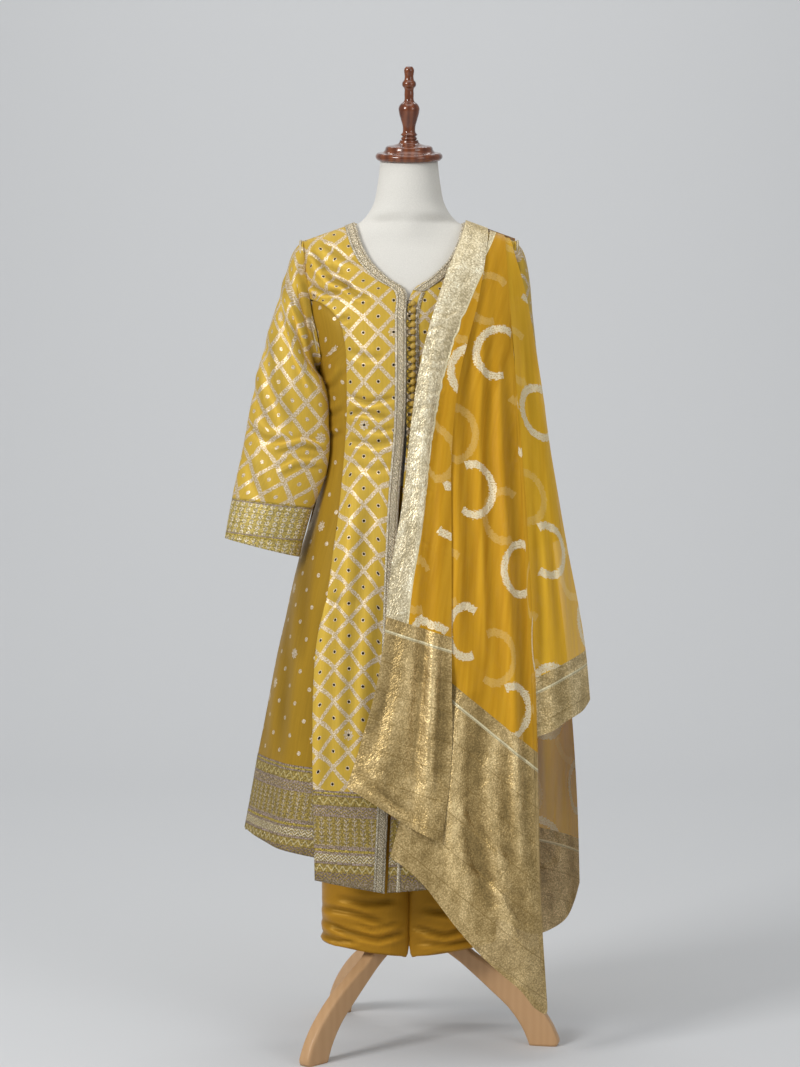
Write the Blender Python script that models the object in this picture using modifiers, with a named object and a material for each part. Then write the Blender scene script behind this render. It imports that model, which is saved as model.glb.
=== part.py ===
"""Salwar kameez suit with dupatta, worn on a limbless dress form with a wooden tripod stand.

The model is in metres with Z up. The front faces -Y and the form's axis stands near the origin.
Every cloth is a thin wall: a sheet is worked out from the sizes below, row by row, and the
Solidify modifier gives it its thickness inwards. Pieces sewn to each other end 0.4 mm apart.
"""

import math

import bmesh
import bpy
from mathutils import Vector

AXIS_Y = -0.0100  # where the form's axis stands

# Cloth and seams
WALL = 0.0012  # silk with its lining
BRAID_WALL = 0.0010  # braid sewn on top of a panel
VEIL_WALL = 0.0010  # dupatta
GAP = 0.0004  # between two pieces along a seam
SEAM_HALF = 0.0007  # half the space along the shoulder line, where two walls lean together
ROUNDNESS = 2.15  # 2 is an ellipse, more is squarer

# Kameez
PLACKET_Z = 1.248  # bottom of the neck opening
BRAID_WIDTH = 0.018
LACE_FROM, LACE_TO = 0.0145, 0.0205
BUTTON_RADIUS = 0.0048
BUTTON_COUNT = 21
BUTTON_PITCH = 0.0116
BUTTON_TOP_Z = 1.226
BUTTON_X = 0.0062

# Outside of the kameez: height, half width on the wearer's right and left, depth front and back
BODY = [
    # height, right, left, front, back
    (1.3680, 0.0860, 0.0860, 0.044, 0.044),
    (1.3350, 0.1780, 0.1780, 0.058, 0.058),
    (1.3000, 0.1810, 0.1790, 0.080, 0.074),
    (1.2500, 0.1780, 0.1760, 0.101, 0.088),
    (1.2000, 0.1700, 0.1680, 0.116, 0.098),
    (1.1500, 0.1550, 0.1530, 0.124, 0.102),
    (1.1000, 0.1470, 0.1450, 0.127, 0.102),
    (1.0500, 0.1430, 0.1400, 0.124, 0.100),
    (1.0000, 0.1420, 0.1380, 0.120, 0.098),
    (0.9500, 0.1470, 0.1410, 0.122, 0.107),
    (0.9000, 0.1580, 0.1480, 0.126, 0.116),
    (0.8500, 0.1720, 0.1570, 0.131, 0.124),
    (0.8000, 0.1860, 0.1650, 0.136, 0.131),
    (0.7000, 0.2080, 0.1780, 0.145, 0.140),
    (0.6000, 0.2270, 0.1900, 0.152, 0.147),
    (0.5000, 0.2450, 0.2000, 0.158, 0.153),
    (0.4000, 0.2620, 0.2080, 0.164, 0.159),
    (0.3400, 0.2730, 0.2130, 0.168, 0.163),
    (0.2600, 0.2830, 0.2180, 0.173, 0.167),
]

# Front panel: the inner end of each row is the neck and front edge, the outer end is the armhole
# and then the princess seam. Both are distances from the centre line.
FRONT_ROWS = [
    # inner height, inner x, outer height, outer x
    (1.3660, 0.0900, 1.3356, 0.1764),
    (1.3622, 0.0888, 1.3310, 0.1762),
    (1.3530, 0.0858, 1.3190, 0.1755),
    (1.3300, 0.0790, 1.2920, 0.1735),
    (1.2970, 0.0620, 1.2640, 0.1712),
    (1.2700, 0.0360, 1.2420, 0.1690),
    (1.2480, 0.0062, 1.2280, 0.1420),
    (1.2050, 0.0052, 1.2000, 0.1150),
    (1.1600, 0.0050, 1.1600, 0.1045),
    (1.1000, 0.0050, 1.1000, 0.1020),
    (1.0450, 0.0060, 1.0450, 0.1020),
    (0.9950, 0.0090, 0.9950, 0.1052),
    (0.9450, 0.0135, 0.9450, 0.1095),
    (0.8850, 0.0175, 0.8850, 0.1155),
    (0.8200, 0.0205, 0.8200, 0.1245),
    (0.7500, 0.0235, 0.7500, 0.1335),
    (0.6800, 0.0260, 0.6800, 0.1500),
    (0.6000, 0.0285, 0.6000, 0.1560),
    (0.5150, 0.0308, 0.5150, 0.1568),
    (0.4310, 0.0330, 0.4340, 0.1560),
    (0.3550, 0.0365, 0.3650, 0.1545),
    (0.2760, 0.0400, 0.2930, 0.1530),
]
FRONT_BAND_ROW = 19  # the hem border starts at this row

# Side panel: inner end on the princess seam, outer end on the armhole and then the side seam
SIDE_ROWS = [
    # inner height, inner x, outer height, outer x (0 is the side seam itself)
    (1.2270, 0.1428, 1.2250, 0.1655),
    (1.2000, 0.1156, 1.1850, 0.1540),
    (1.1600, 0.1051, 1.1500, 0.1480),
    (1.1300, 0.1040, 1.1350, 0.0),
    (1.0900, 0.1026, 1.0900, 0.0),
    (1.0450, 0.1026, 1.0450, 0.0),
    (0.9950, 0.1058, 0.9950, 0.0),
    (0.9450, 0.1101, 0.9450, 0.0),
    (0.8850, 0.1161, 0.8850, 0.0),
    (0.8200, 0.1251, 0.8200, 0.0),
    (0.7500, 0.1341, 0.7500, 0.0),
    (0.6800, 0.1490, 0.6900, 0.0),
    (0.6100, 0.1500, 0.6250, 0.0),
    (0.5350, 0.1450, 0.5500, 0.0),
    (0.4640, 0.1420, 0.4740, 0.0),
    (0.3950, 0.1390, 0.4150, 0.0),
    (0.3230, 0.1370, 0.3560, 0.0),
]
SIDE_BAND_ROW = 14
SIDE_TUCK = [(0.85, 0.0), (0.76, 0.0022), (0.68, 0.0050), (0.50, 0.0120), (0.30, 0.0190)]

# Back panel: height at the side seam or armhole, half width there (0 is the side seam itself)
BACK_ROWS = [
    # height, half width
    (1.3356, 0.1764),
    (1.3310, 0.1760),
    (1.3190, 0.1750),
    (1.2900, 0.1735),
    (1.2500, 0.1700),
    (1.2100, 0.1620),
    (1.1700, 0.1500),
    (1.1350, 0.0),
    (1.0450, 0.0),
    (0.9600, 0.0),
    (0.8750, 0.0),
    (0.7800, 0.0),
    (0.6700, 0.0),
    (0.5700, 0.0),
    (0.4700, 0.0),
    (0.3950, 0.0),
    (0.3300, 0.0),
]
BACK_BAND_ROW = 14
BACK_NECK_Z = 1.3420
BACK_NECK_HALF = 0.0900
BACK_YOKE = [0.0, 0.26, 0.42, 0.492, 0.5105, 0.70, 0.88, 1.0]  # share of the half width
VEIL_SEAM = 0.0004
SKIRT_FOLD = 0.0075  # depth of the folds of the skirt at the hem

# Sleeves: outer edge and inner edge of each ring, and the ring's half depth
ARMHOLE = [
    # height, x on the front and back of the armhole
    (1.3356, 0.1780),
    (1.3180, 0.1772),
    (1.2900, 0.1752),
    (1.2500, 0.1714),
    (1.2100, 0.1630),
    (1.1700, 0.1520),
    (1.1450, 0.1492),
    (1.1350, 0.1515),
]
SLEEVE_RIGHT = [
    # outer x, outer y, outer z, inner x, inner y, inner z, half depth
    (0.1930, -0.002, 1.3130, 0.1560, -0.014, 1.1210, 0.050),
    (0.2060, -0.006, 1.2700, 0.1550, -0.030, 1.1100, 0.047),
    (0.2200, -0.010, 1.2220, 0.1495, -0.044, 1.0940, 0.044),
    (0.2360, -0.016, 1.1700, 0.1430, -0.055, 1.0660, 0.041),
    (0.2520, -0.020, 1.1050, 0.1385, -0.062, 1.0300, 0.037),
    (0.2640, -0.024, 1.0450, 0.1375, -0.064, 0.9980, 0.032),
    (0.2740, -0.026, 0.9900, 0.1420, -0.062, 0.9620, 0.032),
    (0.2840, -0.027, 0.9450, 0.1520, -0.060, 0.9260, 0.033),
    (0.2925, -0.028, 0.9065, 0.1655, -0.057, 0.8915, 0.034),
    (0.2990, -0.029, 0.8740, 0.1760, -0.054, 0.8520, 0.035),
    (0.3043, -0.030, 0.8432, 0.1830, -0.052, 0.8130, 0.036),
]
SLEEVE_LEFT = [
    # outer x, outer y, outer z, inner x, inner y, inner z, half depth
    (0.1910, -0.002, 1.3120, 0.1560, -0.010, 1.1210, 0.049),
    (0.1990, -0.005, 1.2700, 0.1550, -0.022, 1.1090, 0.047),
    (0.2030, -0.008, 1.2220, 0.1530, -0.030, 1.0920, 0.045),
    (0.2080, -0.012, 1.1700, 0.1510, -0.036, 1.0640, 0.043),
    (0.2140, -0.016, 1.1050, 0.1490, -0.040, 1.0300, 0.042),
    (0.2210, -0.020, 1.0450, 0.1495, -0.042, 0.9980, 0.041),
    (0.2290, -0.022, 0.9900, 0.1520, -0.044, 0.9620, 0.041),
    (0.2360, -0.024, 0.9450, 0.1570, -0.046, 0.9260, 0.041),
    (0.2420, -0.025, 0.9065, 0.1630, -0.048, 0.8915, 0.041),
    (0.2470, -0.026, 0.8740, 0.1680, -0.049, 0.8520, 0.042),
    (0.2520, -0.028, 0.8432, 0.1730, -0.050, 0.8130, 0.042),
]
CUFF_ROW = 8
SLEEVE_STEPS = 20

# Salwar: the belt round the hips, then one tube for each leg
BELT = [
    # height, half width, front, back
    (0.9300, 0.1150, 0.0938, 0.0912),
    (0.8600, 0.1400, 0.1140, 0.1120),
    (0.7800, 0.1550, 0.1225, 0.1195),
    (0.7000, 0.1545, 0.1215, 0.1190),
    (0.6620, 0.1500, 0.1180, 0.1150),
]
LEG = [
    # height, centre x, centre y, half width, half depth
    (0.6616, 0.0832, 0.000, 0.0662, 0.108),
    (0.5800, 0.0825, -0.006, 0.0665, 0.098),
    (0.5000, 0.0810, -0.014, 0.0670, 0.088),
    (0.4200, 0.0808, -0.022, 0.0670, 0.076),
    (0.3400, 0.0780, -0.030, 0.0688, 0.064),
    (0.2700, 0.0740, -0.036, 0.0712, 0.056),
    (0.2200, 0.0733, -0.038, 0.0716, 0.053),
    (0.1535, 0.0733, -0.039, 0.0718, 0.052),
]
LEG_STEPS = 20
LEG_SQUARE = 0.45  # the inner front corner is nearly square, where the two legs meet
HEM_LIFT = 0.100  # the inner hem rests on the stand

# How far the dupatta hangs outside the kameez: height, to the side, in front, behind
VEIL_REST = 0.0026  # how high it lies on the shoulder
VEIL = [
    # height, side, front, back
    (1.3720, 0.0020, 0.004, 0.004),
    (1.3350, 0.0050, 0.006, 0.006),
    (1.3000, 0.0200, 0.009, 0.009),
    (1.2500, 0.0300, 0.009, 0.010),
    (1.1800, 0.0500, 0.009, 0.009),
    (1.1200, 0.0780, 0.008, 0.009),
    (1.0500, 0.0990, 0.010, 0.012),
    (0.9800, 0.1120, 0.012, 0.013),
    (0.8900, 0.1180, 0.011, 0.012),
    (0.7900, 0.1170, 0.011, 0.011),
    (0.6900, 0.1170, 0.011, 0.011),
    (0.5900, 0.1150, 0.012, 0.011),
    (0.4500, 0.1020, 0.013, 0.012),
    (0.3500, 0.0940, 0.013, 0.013),
    (0.2500, 0.0880, 0.013, 0.013),
    (0.0600, 0.0880, 0.015, 0.015),
]

# Fold lines of each fall, from its first edge to its last. Each line has its x at nine even
# steps from the shoulder to the hem, the height of its lower end, and how far it stands out in mm.
FRONT_FALL = [
    # x at nine steps, bottom, out at nine steps
    ((0.094, 0.053, 0.020, 0.002, -0.010, -0.030, -0.041, -0.063, -0.100), 0.450,
     (3, 9, 10, 11, 12, 12, 12, 14, 16)),
    ((0.103, 0.068, 0.036, 0.020, 0.010, -0.006, -0.014, -0.026, -0.047), 0.418,
     (3, 10, 12, 13, 13, 14, 15, 19, 24)),
    ((0.112, 0.083, 0.051, 0.035, 0.028, 0.020, 0.014, 0.008, -0.002), 0.388,
     (3, 9, 10, 11, 11, 12, 11, 12, 14)),
    ((0.121, 0.097, 0.066, 0.052, 0.048, 0.045, 0.043, 0.040, 0.030), 0.372,
     (3, 10, 12, 14, 15, 15, 17, 20, 24)),
    ((0.131, 0.112, 0.081, 0.068, 0.068, 0.068, 0.068, 0.067, 0.052), 0.360,
     (3, 9, 10, 10, 10, 10, 10, 11, 13)),
]
MIDDLE_FALL = [
    ((0.134, 0.098, 0.060, 0.048, 0.046, 0.042, 0.030, 0.006, -0.031), 0.338,
     (1, 3, 3, 3, 3, 3, 3, 3, 3)),
    ((0.139, 0.113, 0.082, 0.070, 0.068, 0.064, 0.058, 0.044, 0.020), 0.296,
     (1, 3, 3, 3, 4, 4, 4, 4, 5)),
    ((0.143, 0.126, 0.104, 0.097, 0.098, 0.098, 0.096, 0.088, 0.074), 0.226,
     (1, 4, 6, 7, 8, 9, 10, 9, 8)),
    ((0.148, 0.138, 0.126, 0.124, 0.127, 0.130, 0.132, 0.130, 0.122), 0.172,
     (1, 3, 4, 4, 5, 5, 6, 8, 12)),
    ((0.152, 0.149, 0.148, 0.152, 0.157, 0.162, 0.166, 0.172, 0.178), 0.122,
     (1, 4, 6, 8, 10, 11, 14, 18, 22)),
    ((0.156, 0.160, 0.170, 0.180, 0.187, 0.193, 0.199, 0.208, 0.221), 0.077,
     (1, 4, 6, 7, 8, 9, 9, 10, 12)),
    ((0.158, 0.166, 0.177, 0.188, 0.196, 0.203, 0.207, 0.210, 0.209), 0.200,
     (1, 3, 4, 4, 4, 4, 3, 2, 2)),
]
SIDE_FALL = [
    ((0.161, 0.172, 0.180, 0.186, 0.190, 0.192, 0.194, 0.196, 0.198), 0.522,
     (1, 1, -1, -2, -3, -4, -4, -4, -4)),
    ((0.166, 0.180, 0.190, 0.199, 0.208, 0.218, 0.224, 0.228, 0.232), 0.532,
     (1, 1, 1, 1, 1, 2, 3, 4, 5)),
    ((0.171, 0.187, 0.199, 0.210, 0.221, 0.232, 0.244, 0.252, 0.256), 0.546,
     (1, 1, 1, 0, 0, 0, 0, 0, 0)),
    ((0.175, 0.192, 0.205, 0.218, 0.232, 0.246, 0.262, 0.276, 0.284), 0.560,
     (1, 1, 1, 1, 1, 1, 2, 3, 4)),
    ((0.1775, 0.1955, 0.2095, 0.2235, 0.2395, 0.2555, 0.2725, 0.2900, 0.3000), 0.576,
     (1, 1, 1, 1, 1, 1, 1, 1, 1)),
]
BACK_FALL = [
    ((0.096, 0.090, 0.082, 0.074, 0.066, 0.060, 0.054, 0.050, 0.046), 0.196,
     (2, 3, 4, 4, 5, 5, 6, 6, 6)),
    ((0.112, 0.110, 0.106, 0.102, 0.098, 0.094, 0.090, 0.086, 0.084), 0.186,
     (2, 4, 8, 10, 12, 13, 14, 15, 16)),
    ((0.128, 0.130, 0.130, 0.130, 0.130, 0.130, 0.128, 0.126, 0.126), 0.172,
     (2, 3, 4, 4, 4, 4, 4, 5, 5)),
    ((0.144, 0.150, 0.156, 0.160, 0.164, 0.167, 0.169, 0.170, 0.170), 0.160,
     (2, 4, 7, 9, 11, 13, 14, 16, 18)),
    ((0.158, 0.170, 0.182, 0.192, 0.201, 0.209, 0.215, 0.218, 0.220), 0.146,
     (2, 3, 3, 3, 3, 3, 3, 4, 4)),
    ((0.170, 0.188, 0.205, 0.220, 0.236, 0.250, 0.262, 0.270, 0.272), 0.182,
     (2, 3, 4, 5, 6, 7, 8, 8, 8)),
    ((0.1765, 0.196, 0.213, 0.231, 0.250, 0.268, 0.280, 0.288, 0.292), 0.250,
     (2, 2, 2, 2, 2, 2, 2, 2, 2)),
]

# Dress form: height, half width, depth front and back
FORM = [
    # height, half width, front, back
    (1.4690, 0.0474, 0.0474, 0.0474),
    (1.4300, 0.0520, 0.0520, 0.0520),
    (1.3950, 0.0600, 0.0550, 0.0540),
    (1.3780, 0.0700, 0.0530, 0.0500),
    (1.1000, 0.1380, 0.1180, 0.0910),
    (1.0500, 0.1230, 0.1060, 0.0830),
    (1.0000, 0.1110, 0.0930, 0.0800),
    (0.9500, 0.1090, 0.0890, 0.0860),
    (0.9000, 0.1200, 0.0970, 0.0950),
    (0.8400, 0.1360, 0.1080, 0.1060),
    (0.7800, 0.1470, 0.1150, 0.1120),
    (0.7200, 0.1470, 0.1150, 0.1120),
    (0.6800, 0.1410, 0.1110, 0.1080),
    (0.6640, 0.1290, 0.1010, 0.0990),
]
FORM_STEPS = 24
FORM_CLEAR = 0.0031  # from the outside of the kameez down to the form where it rests on it
FORM_SHOULDER_Z = [
    1.3640, 1.3580, 1.3520, 1.3460, 1.3400, 1.3345, 1.3240, 1.3060, 1.2800, 1.2500, 1.2000, 1.1500,
]

# Neck cap and finial: height above the cap's underside and radius
CAP_TILT = math.radians(11.0)
CAP_Z = 1.4695
CAP_PROFILE = [
    (0.0000, 0.0520), (0.0030, 0.0550), (0.0080, 0.0556), (0.0115, 0.0530), (0.0130, 0.0440),
    (0.0170, 0.0400), (0.0215, 0.0385), (0.0250, 0.0260), (0.0290, 0.0165), (0.0330, 0.0150),
]
FINIAL_PROFILE = [
    (0.0000, 0.0120), (0.0030, 0.0135), (0.0065, 0.0110), (0.0085, 0.0140), (0.0125, 0.0110),
    (0.0200, 0.0104), (0.0330, 0.0135), (0.0440, 0.0165), (0.0530, 0.0172), (0.0590, 0.0140),
    (0.0630, 0.0090), (0.0750, 0.0078), (0.0850, 0.0084), (0.0880, 0.0110), (0.0940, 0.0112),
    (0.0985, 0.0080), (0.1020, 0.0074), (0.1170, 0.0074), (0.1200, 0.0050),
]
CAP_STEPS = 20

# Stand
POST_RADIUS = 0.0125
POST_BOTTOM = 0.2264
HUB_RADIUS = 0.0270
HUB_BOTTOM, HUB_TOP = 0.1600, 0.2260
LEG_HALF_WIDTH = 0.0120
LEG_HEADINGS = {"front": -42.0, "left": 78.0, "back": 212.0}  # degrees from the front
STAND_LEG = [
    # along the top from the hub to the toe, then along the underside back to the hub
    (0.0274, 0.2220), (0.0560, 0.2020), (0.0840, 0.1760), (0.1080, 0.1520), (0.1440, 0.1290),
    (0.1780, 0.1060), (0.2100, 0.0780), (0.2350, 0.0490), (0.2500, 0.0220), (0.2550, 0.0050),
    (0.2520, 0.0000), (0.2060, 0.0000), (0.1960, 0.0240), (0.1740, 0.0570), (0.1390, 0.0900),
    (0.1120, 0.1140), (0.0880, 0.1340), (0.0580, 0.1530), (0.0274, 0.1640),
]


def spread(table, height):
    """Every column of a table at this height, along a smooth curve through its rows."""
    rows = sorted(table)
    if height <= rows[0][0]:
        return list(rows[0][1:])
    if height >= rows[-1][0]:
        return list(rows[-1][1:])
    place = next(i for i in range(len(rows) - 1) if rows[i + 1][0] >= height)
    low, high = rows[place], rows[place + 1]
    before = rows[max(place - 1, 0)]
    after = rows[min(place + 2, len(rows) - 1)]
    step = high[0] - low[0]
    t = (height - low[0]) / step
    found = []
    for c in range(1, len(low)):
        slope_low = (high[c] - before[c]) / (high[0] - before[0]) * step
        slope_high = (after[c] - low[c]) / (after[0] - low[0]) * step
        found.append(
            (2 * t**3 - 3 * t**2 + 1) * low[c]
            + (t**3 - 2 * t**2 + t) * slope_low
            + (3 * t**2 - 2 * t**3) * high[c]
            + (t**3 - t**2) * slope_high
        )
    return found


def straight(table, height):
    """The second column of a table at this height, along straight lines."""
    rows = sorted(table)
    if height <= rows[0][0]:
        return rows[0][1]
    for low, high in zip(rows, rows[1:]):
        if height <= high[0]:
            return low[1] + (high[1] - low[1]) * (height - low[0]) / (high[0] - low[0])
    return rows[-1][1]


def along(values, t):
    """A smooth curve through evenly spaced values, at t from 0 to 1."""
    place = min(int(t * (len(values) - 1)), len(values) - 2)
    t = t * (len(values) - 1) - place
    low, high = values[place], values[place + 1]
    before = values[max(place - 1, 0)]
    after = values[min(place + 2, len(values) - 1)]
    return 0.5 * (
        2 * low
        + (high - before) * t
        + (2 * before - 5 * low + 4 * high - after) * t**2
        + (3 * low - before - 3 * high + after) * t**3
    )


def ease(low, high, value):
    """0 up to low, 1 from high on, and smooth between them."""
    t = min(max((value - low) / (high - low), 0.0), 1.0)
    return t * t * (3 - 2 * t)


def bulge(x, reach, depth, power=ROUNDNESS):
    """Depth of a rounded section at x, where it reaches this far and is this deep."""
    inside = max(1.0 - (abs(x) / reach) ** power, 0.0)
    return depth * inside ** (1.0 / power)


def body_reach(side, height):
    """Half width of the kameez on one side, at this height. The shoulder line is straight."""
    if height > 1.3350:
        share = (height - 1.3350) / (1.3680 - 1.3350)
        return 0.1780 + (0.0860 - 0.1780) * share
    right, left = spread(BODY, height)[:2]
    return right if side < 0 else left


def around(side, face, reach_at, depth_at, angle, height):
    """A point of a rounded section: angle 0 is the centre line and 90 degrees is the side."""
    reach, depth = reach_at(side, height), depth_at(face, height)
    s, c = math.sin(angle), max(math.cos(angle), 0.0)
    return Vector((
        side * reach * s ** (2 / ROUNDNESS),
        face * depth * c ** (2 / ROUNDNESS),
        height,
    ))


def body_depth(face, height):
    front, back = spread(BODY, height)[2:]
    return front if face < 0 else back


def angle_of(x, reach):
    return math.asin(min(abs(x) / reach, 1.0) ** (ROUNDNESS / 2))


def kameez_point(side, face, angle, height):
    return around(side, face, body_reach, body_depth, angle, height)


def skirt_fold(side, face, angle, height):
    """How far the skirt stands out at this place: soft folds that open towards the hem."""
    grown = ease(0.92, 0.33, height)
    degrees = math.degrees(angle)
    if face < 0:
        wave = math.cos(math.radians(degrees * 7.5 + (20 if side < 0 else 75)))
        return SKIRT_FOLD * grown * ease(30, 70, degrees) * 0.8 * wave
    wave = math.cos(math.radians(degrees * 7.0))
    return SKIRT_FOLD * grown * wave


def moved_out(grid, out, closed=False):
    """The grid with each point moved along the surface's normal."""
    normals = grid_normals(grid, closed)
    return [
        [p + n * out for p, n in zip(row, line)] for row, line in zip(grid, normals)
    ]


def grid_normals(grid, closed=False):
    """Normals that point away from the model's axis."""
    rows, columns = len(grid), len(grid[0])
    found = []
    for i in range(rows):
        line = []
        for j in range(columns):
            above, below = grid[max(i - 1, 0)][j], grid[min(i + 1, rows - 1)][j]
            if closed:
                left, right = grid[i][j - 1], grid[i][(j + 1) % columns]
            else:
                left, right = grid[i][max(j - 1, 0)], grid[i][min(j + 1, columns - 1)]
            line.append((below - above).cross(right - left).normalized())
        found.append(line)
    return found


def material(name, colour, roughness, metallic=0.0):
    made = bpy.data.materials.get(name)
    if made:
        return made
    made = bpy.data.materials.new(name)
    made.use_nodes = True
    shader = made.node_tree.nodes["Principled BSDF"]
    shader.inputs["Base Color"].default_value = (*colour, 1.0)
    shader.inputs["Roughness"].default_value = roughness
    shader.inputs["Metallic"].default_value = metallic
    return made


BROCADE = ("silk_brocade", (0.62, 0.42, 0.045), 0.50)
PLAIN_SILK = ("plain_silk", (0.47, 0.29, 0.028), 0.45)
ZARI = ("zari_trim", (0.40, 0.29, 0.10), 0.45, 0.3)
SATIN = ("salwar_satin", (0.38, 0.20, 0.018), 0.42)
ORGANZA = ("dupatta_organza", (0.55, 0.27, 0.016), 0.40)
FORM_CLOTH = ("form_jersey", (0.70, 0.67, 0.61), 0.90)
CHERRY = ("red_brown_wood", (0.16, 0.035, 0.010), 0.25)
BEECH = ("beech_wood", (0.50, 0.30, 0.14), 0.45)

for old in list(bpy.data.objects):
    bpy.data.objects.remove(old, do_unlink=True)
suit = bpy.data.collections.new("salwar_kameez_suit")
bpy.context.scene.collection.children.link(suit)


def add_object(name, mesh, finish):
    piece = bpy.data.objects.new(name, mesh)
    mesh.materials.append(material(*finish))
    suit.objects.link(piece)
    return piece


def sheet(name, grid, finish, wall=WALL, closed=False):
    """A wall of cloth: the grid is its outside, and the wall goes inwards from it."""
    mesh = bpy.data.meshes.new(name)
    bm = bmesh.new()
    lines = [[bm.verts.new(p) for p in row] for row in grid]
    for upper, lower in zip(lines, lines[1:]):
        count = len(upper)
        for j in range(count if closed else count - 1):
            k = (j + 1) % count
            bm.faces.new((upper[j], lower[j], lower[k], upper[k]))
    bm.to_mesh(mesh)
    bm.free()
    piece = add_object(name, mesh, finish)
    thick = piece.modifiers.new("Wall", "SOLIDIFY")
    thick.thickness = wall
    thick.offset = -1.0
    return piece


def loft_solid(name, rings, finish):
    """A closed body through rings of the same number of points, capped flat at both ends."""
    mesh = bpy.data.meshes.new(name)
    bm = bmesh.new()
    lines = [[bm.verts.new(p) for p in ring] for ring in rings]
    for upper, lower in zip(lines, lines[1:]):
        for j in range(len(upper)):
            k = (j + 1) % len(upper)
            bm.faces.new((upper[j], lower[j], lower[k], upper[k]))
    bm.faces.new(lines[0])
    bm.faces.new(list(reversed(lines[-1])))
    bmesh.ops.recalc_face_normals(bm, faces=bm.faces)
    bm.to_mesh(mesh)
    bm.free()
    return add_object(name, mesh, finish)


def turned(name, profile, steps, finish, base, tilt):
    """A turned wood piece: the profile is spun round the axis by a Screw modifier."""
    mesh = bpy.data.meshes.new(name)
    bm = bmesh.new()
    high, low = profile[-1][0], profile[0][0]
    points = [(0.0, 0.0, high)] + [(r, 0.0, z) for z, r in reversed(profile)] + [(0.0, 0.0, low)]
    verts = [bm.verts.new(p) for p in points]
    for a, b in zip(verts, verts[1:]):
        bm.edges.new((a, b))
    bm.to_mesh(mesh)
    bm.free()
    piece = add_object(name, mesh, finish)
    spin = piece.modifiers.new("Spin", "SCREW")
    spin.steps = spin.render_steps = steps
    spin.use_merge_vertices = True
    spin.merge_threshold = 0.00005
    spin.use_normal_calculate = True
    piece.location = base
    piece.rotation_euler = (tilt, 0.0, 0.0)
    return piece


# Front panels. The grid runs from the edge of the opening to the princess seam. On the wearer's
# left the panel lies a little lower where it passes behind the right one.


def front_grid(side):
    grid = []
    for i, (inner_z, inner_x, outer_z, outer_x) in enumerate(FRONT_ROWS):
        if side > 0:
            inner_x = inner_x + 0.0002 if i < 7 else -0.0045 - max(inner_x - 0.009, 0.0)
            outer_x -= 0.0 if i < 6 else 0.002
        row = []
        width = abs(outer_x - inner_x)
        if side < 0:
            marks, more = [0.0, BRAID_WIDTH], 5
        elif i < 7:
            marks, more = [0.0, BRAID_WIDTH * 0.9, BRAID_WIDTH], 4
        else:
            marks, more = [0.0, LACE_FROM, LACE_TO], 4
        turning = 1.25 if i < 7 else 0.9
        for k in range(len(marks) + more):
            if k < len(marks):
                x = inner_x + marks[k]
            else:
                step = math.sin(turning * (k - len(marks) + 1) / more) / math.sin(turning)
                x = inner_x + marks[-1] + (outer_x - inner_x - marks[-1]) * step
            share = (x - inner_x) / width
            height = inner_z + (outer_z - inner_z) * share
            reach = body_reach(side, height)
            depth = body_depth(-1, height)
            angle = angle_of(x, reach)
            y = -bulge(x, reach, depth) if i else -SEAM_HALF
            y -= skirt_fold(side, -1, angle, height)
            if side > 0:
                y += 0.0038 * ease(0.02, -0.012, x) * ease(1.0, 0.93, height)
            row.append(Vector((side * x, y, height)))
        grid.append(row)
    return grid


def side_grid(side):
    grid = []
    for inner_z, inner_x, outer_z, outer_x in SIDE_ROWS:
        if side > 0:
            inner_x -= 0.002 if inner_z < 1.2 else 0.0
        row = []
        for k in range(6):
            share = k / 5
            height = inner_z + (outer_z - inner_z) * share
            reach = body_reach(side, height)
            start = angle_of(inner_x, body_reach(side, inner_z))
            stop = (
                angle_of(outer_x, body_reach(side, outer_z)) if outer_x else math.pi / 2 - 0.002
            )
            angle = start + (stop - start) * share
            point = kameez_point(side, -1, angle, height)
            out = skirt_fold(side, -1, angle, height)
            out -= straight(SIDE_TUCK, height) * (1 - share) ** 0.8
            flat = Vector((point.x / reach, point.y / body_depth(-1, height), 0)).normalized()
            row.append(point + flat * out)
        grid.append(row)
    return grid


def back_grid():
    grid = []
    for i, (row_z, row_x) in enumerate(BACK_ROWS):
        row = []
        rise = ease(1.16, 1.3356, row_z)
        for k in range(-7, 8):
            side = 1 if k > 0 else -1
            share = abs(k) / 7
            reach = body_reach(side, row_z)
            stop = angle_of(row_x, reach) if row_x else math.pi / 2 - 0.002
            x = reach * math.sin(stop * share) ** (2 / ROUNDNESS)
            yoke = ease(1.25, 1.331, row_z)
            if row_x:
                x += (BACK_YOKE[abs(k)] * row_x - x) * yoke
            height = row_z
            crown = 1.3660 - (1.3660 - 1.3356) * max(x - 0.0860, 0.0) / (0.1764 - 0.0860)
            if x < BACK_NECK_HALF:
                crown = BACK_NECK_Z + (1.3652 - BACK_NECK_Z) * (x / BACK_NECK_HALF) ** 1.5
            height += (crown - 1.3356) * rise
            height += 0.022 * ease(0.62, 0.34, row_z) * (x / reach) ** 2
            reach = body_reach(side, height)
            y = bulge(x, reach, body_depth(1, height))
            if i == 0 and x >= BACK_NECK_HALF - 0.001:
                y = 0.0
            y = max(y, SEAM_HALF)
            out = skirt_fold(side, 1, angle_of(x, reach), height) if x < reach else 0
            row.append(Vector((side * x, y + out, height)))
        grid.append(row)
    return [list(reversed(row)) for row in grid]


def split(grid, row):
    """The rows above a seam and the rows below it, the lower ones starting a gap further down."""
    lower = [[p.copy() for p in line] for line in grid[row:]]
    for j, p in enumerate(lower[0]):
        down = (grid[row + 1][j] - p).normalized()
        lower[0][j] = p + down * GAP
    return grid[: row + 1], lower


def mirrored(grid):
    return [list(reversed(row)) for row in grid]


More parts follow.
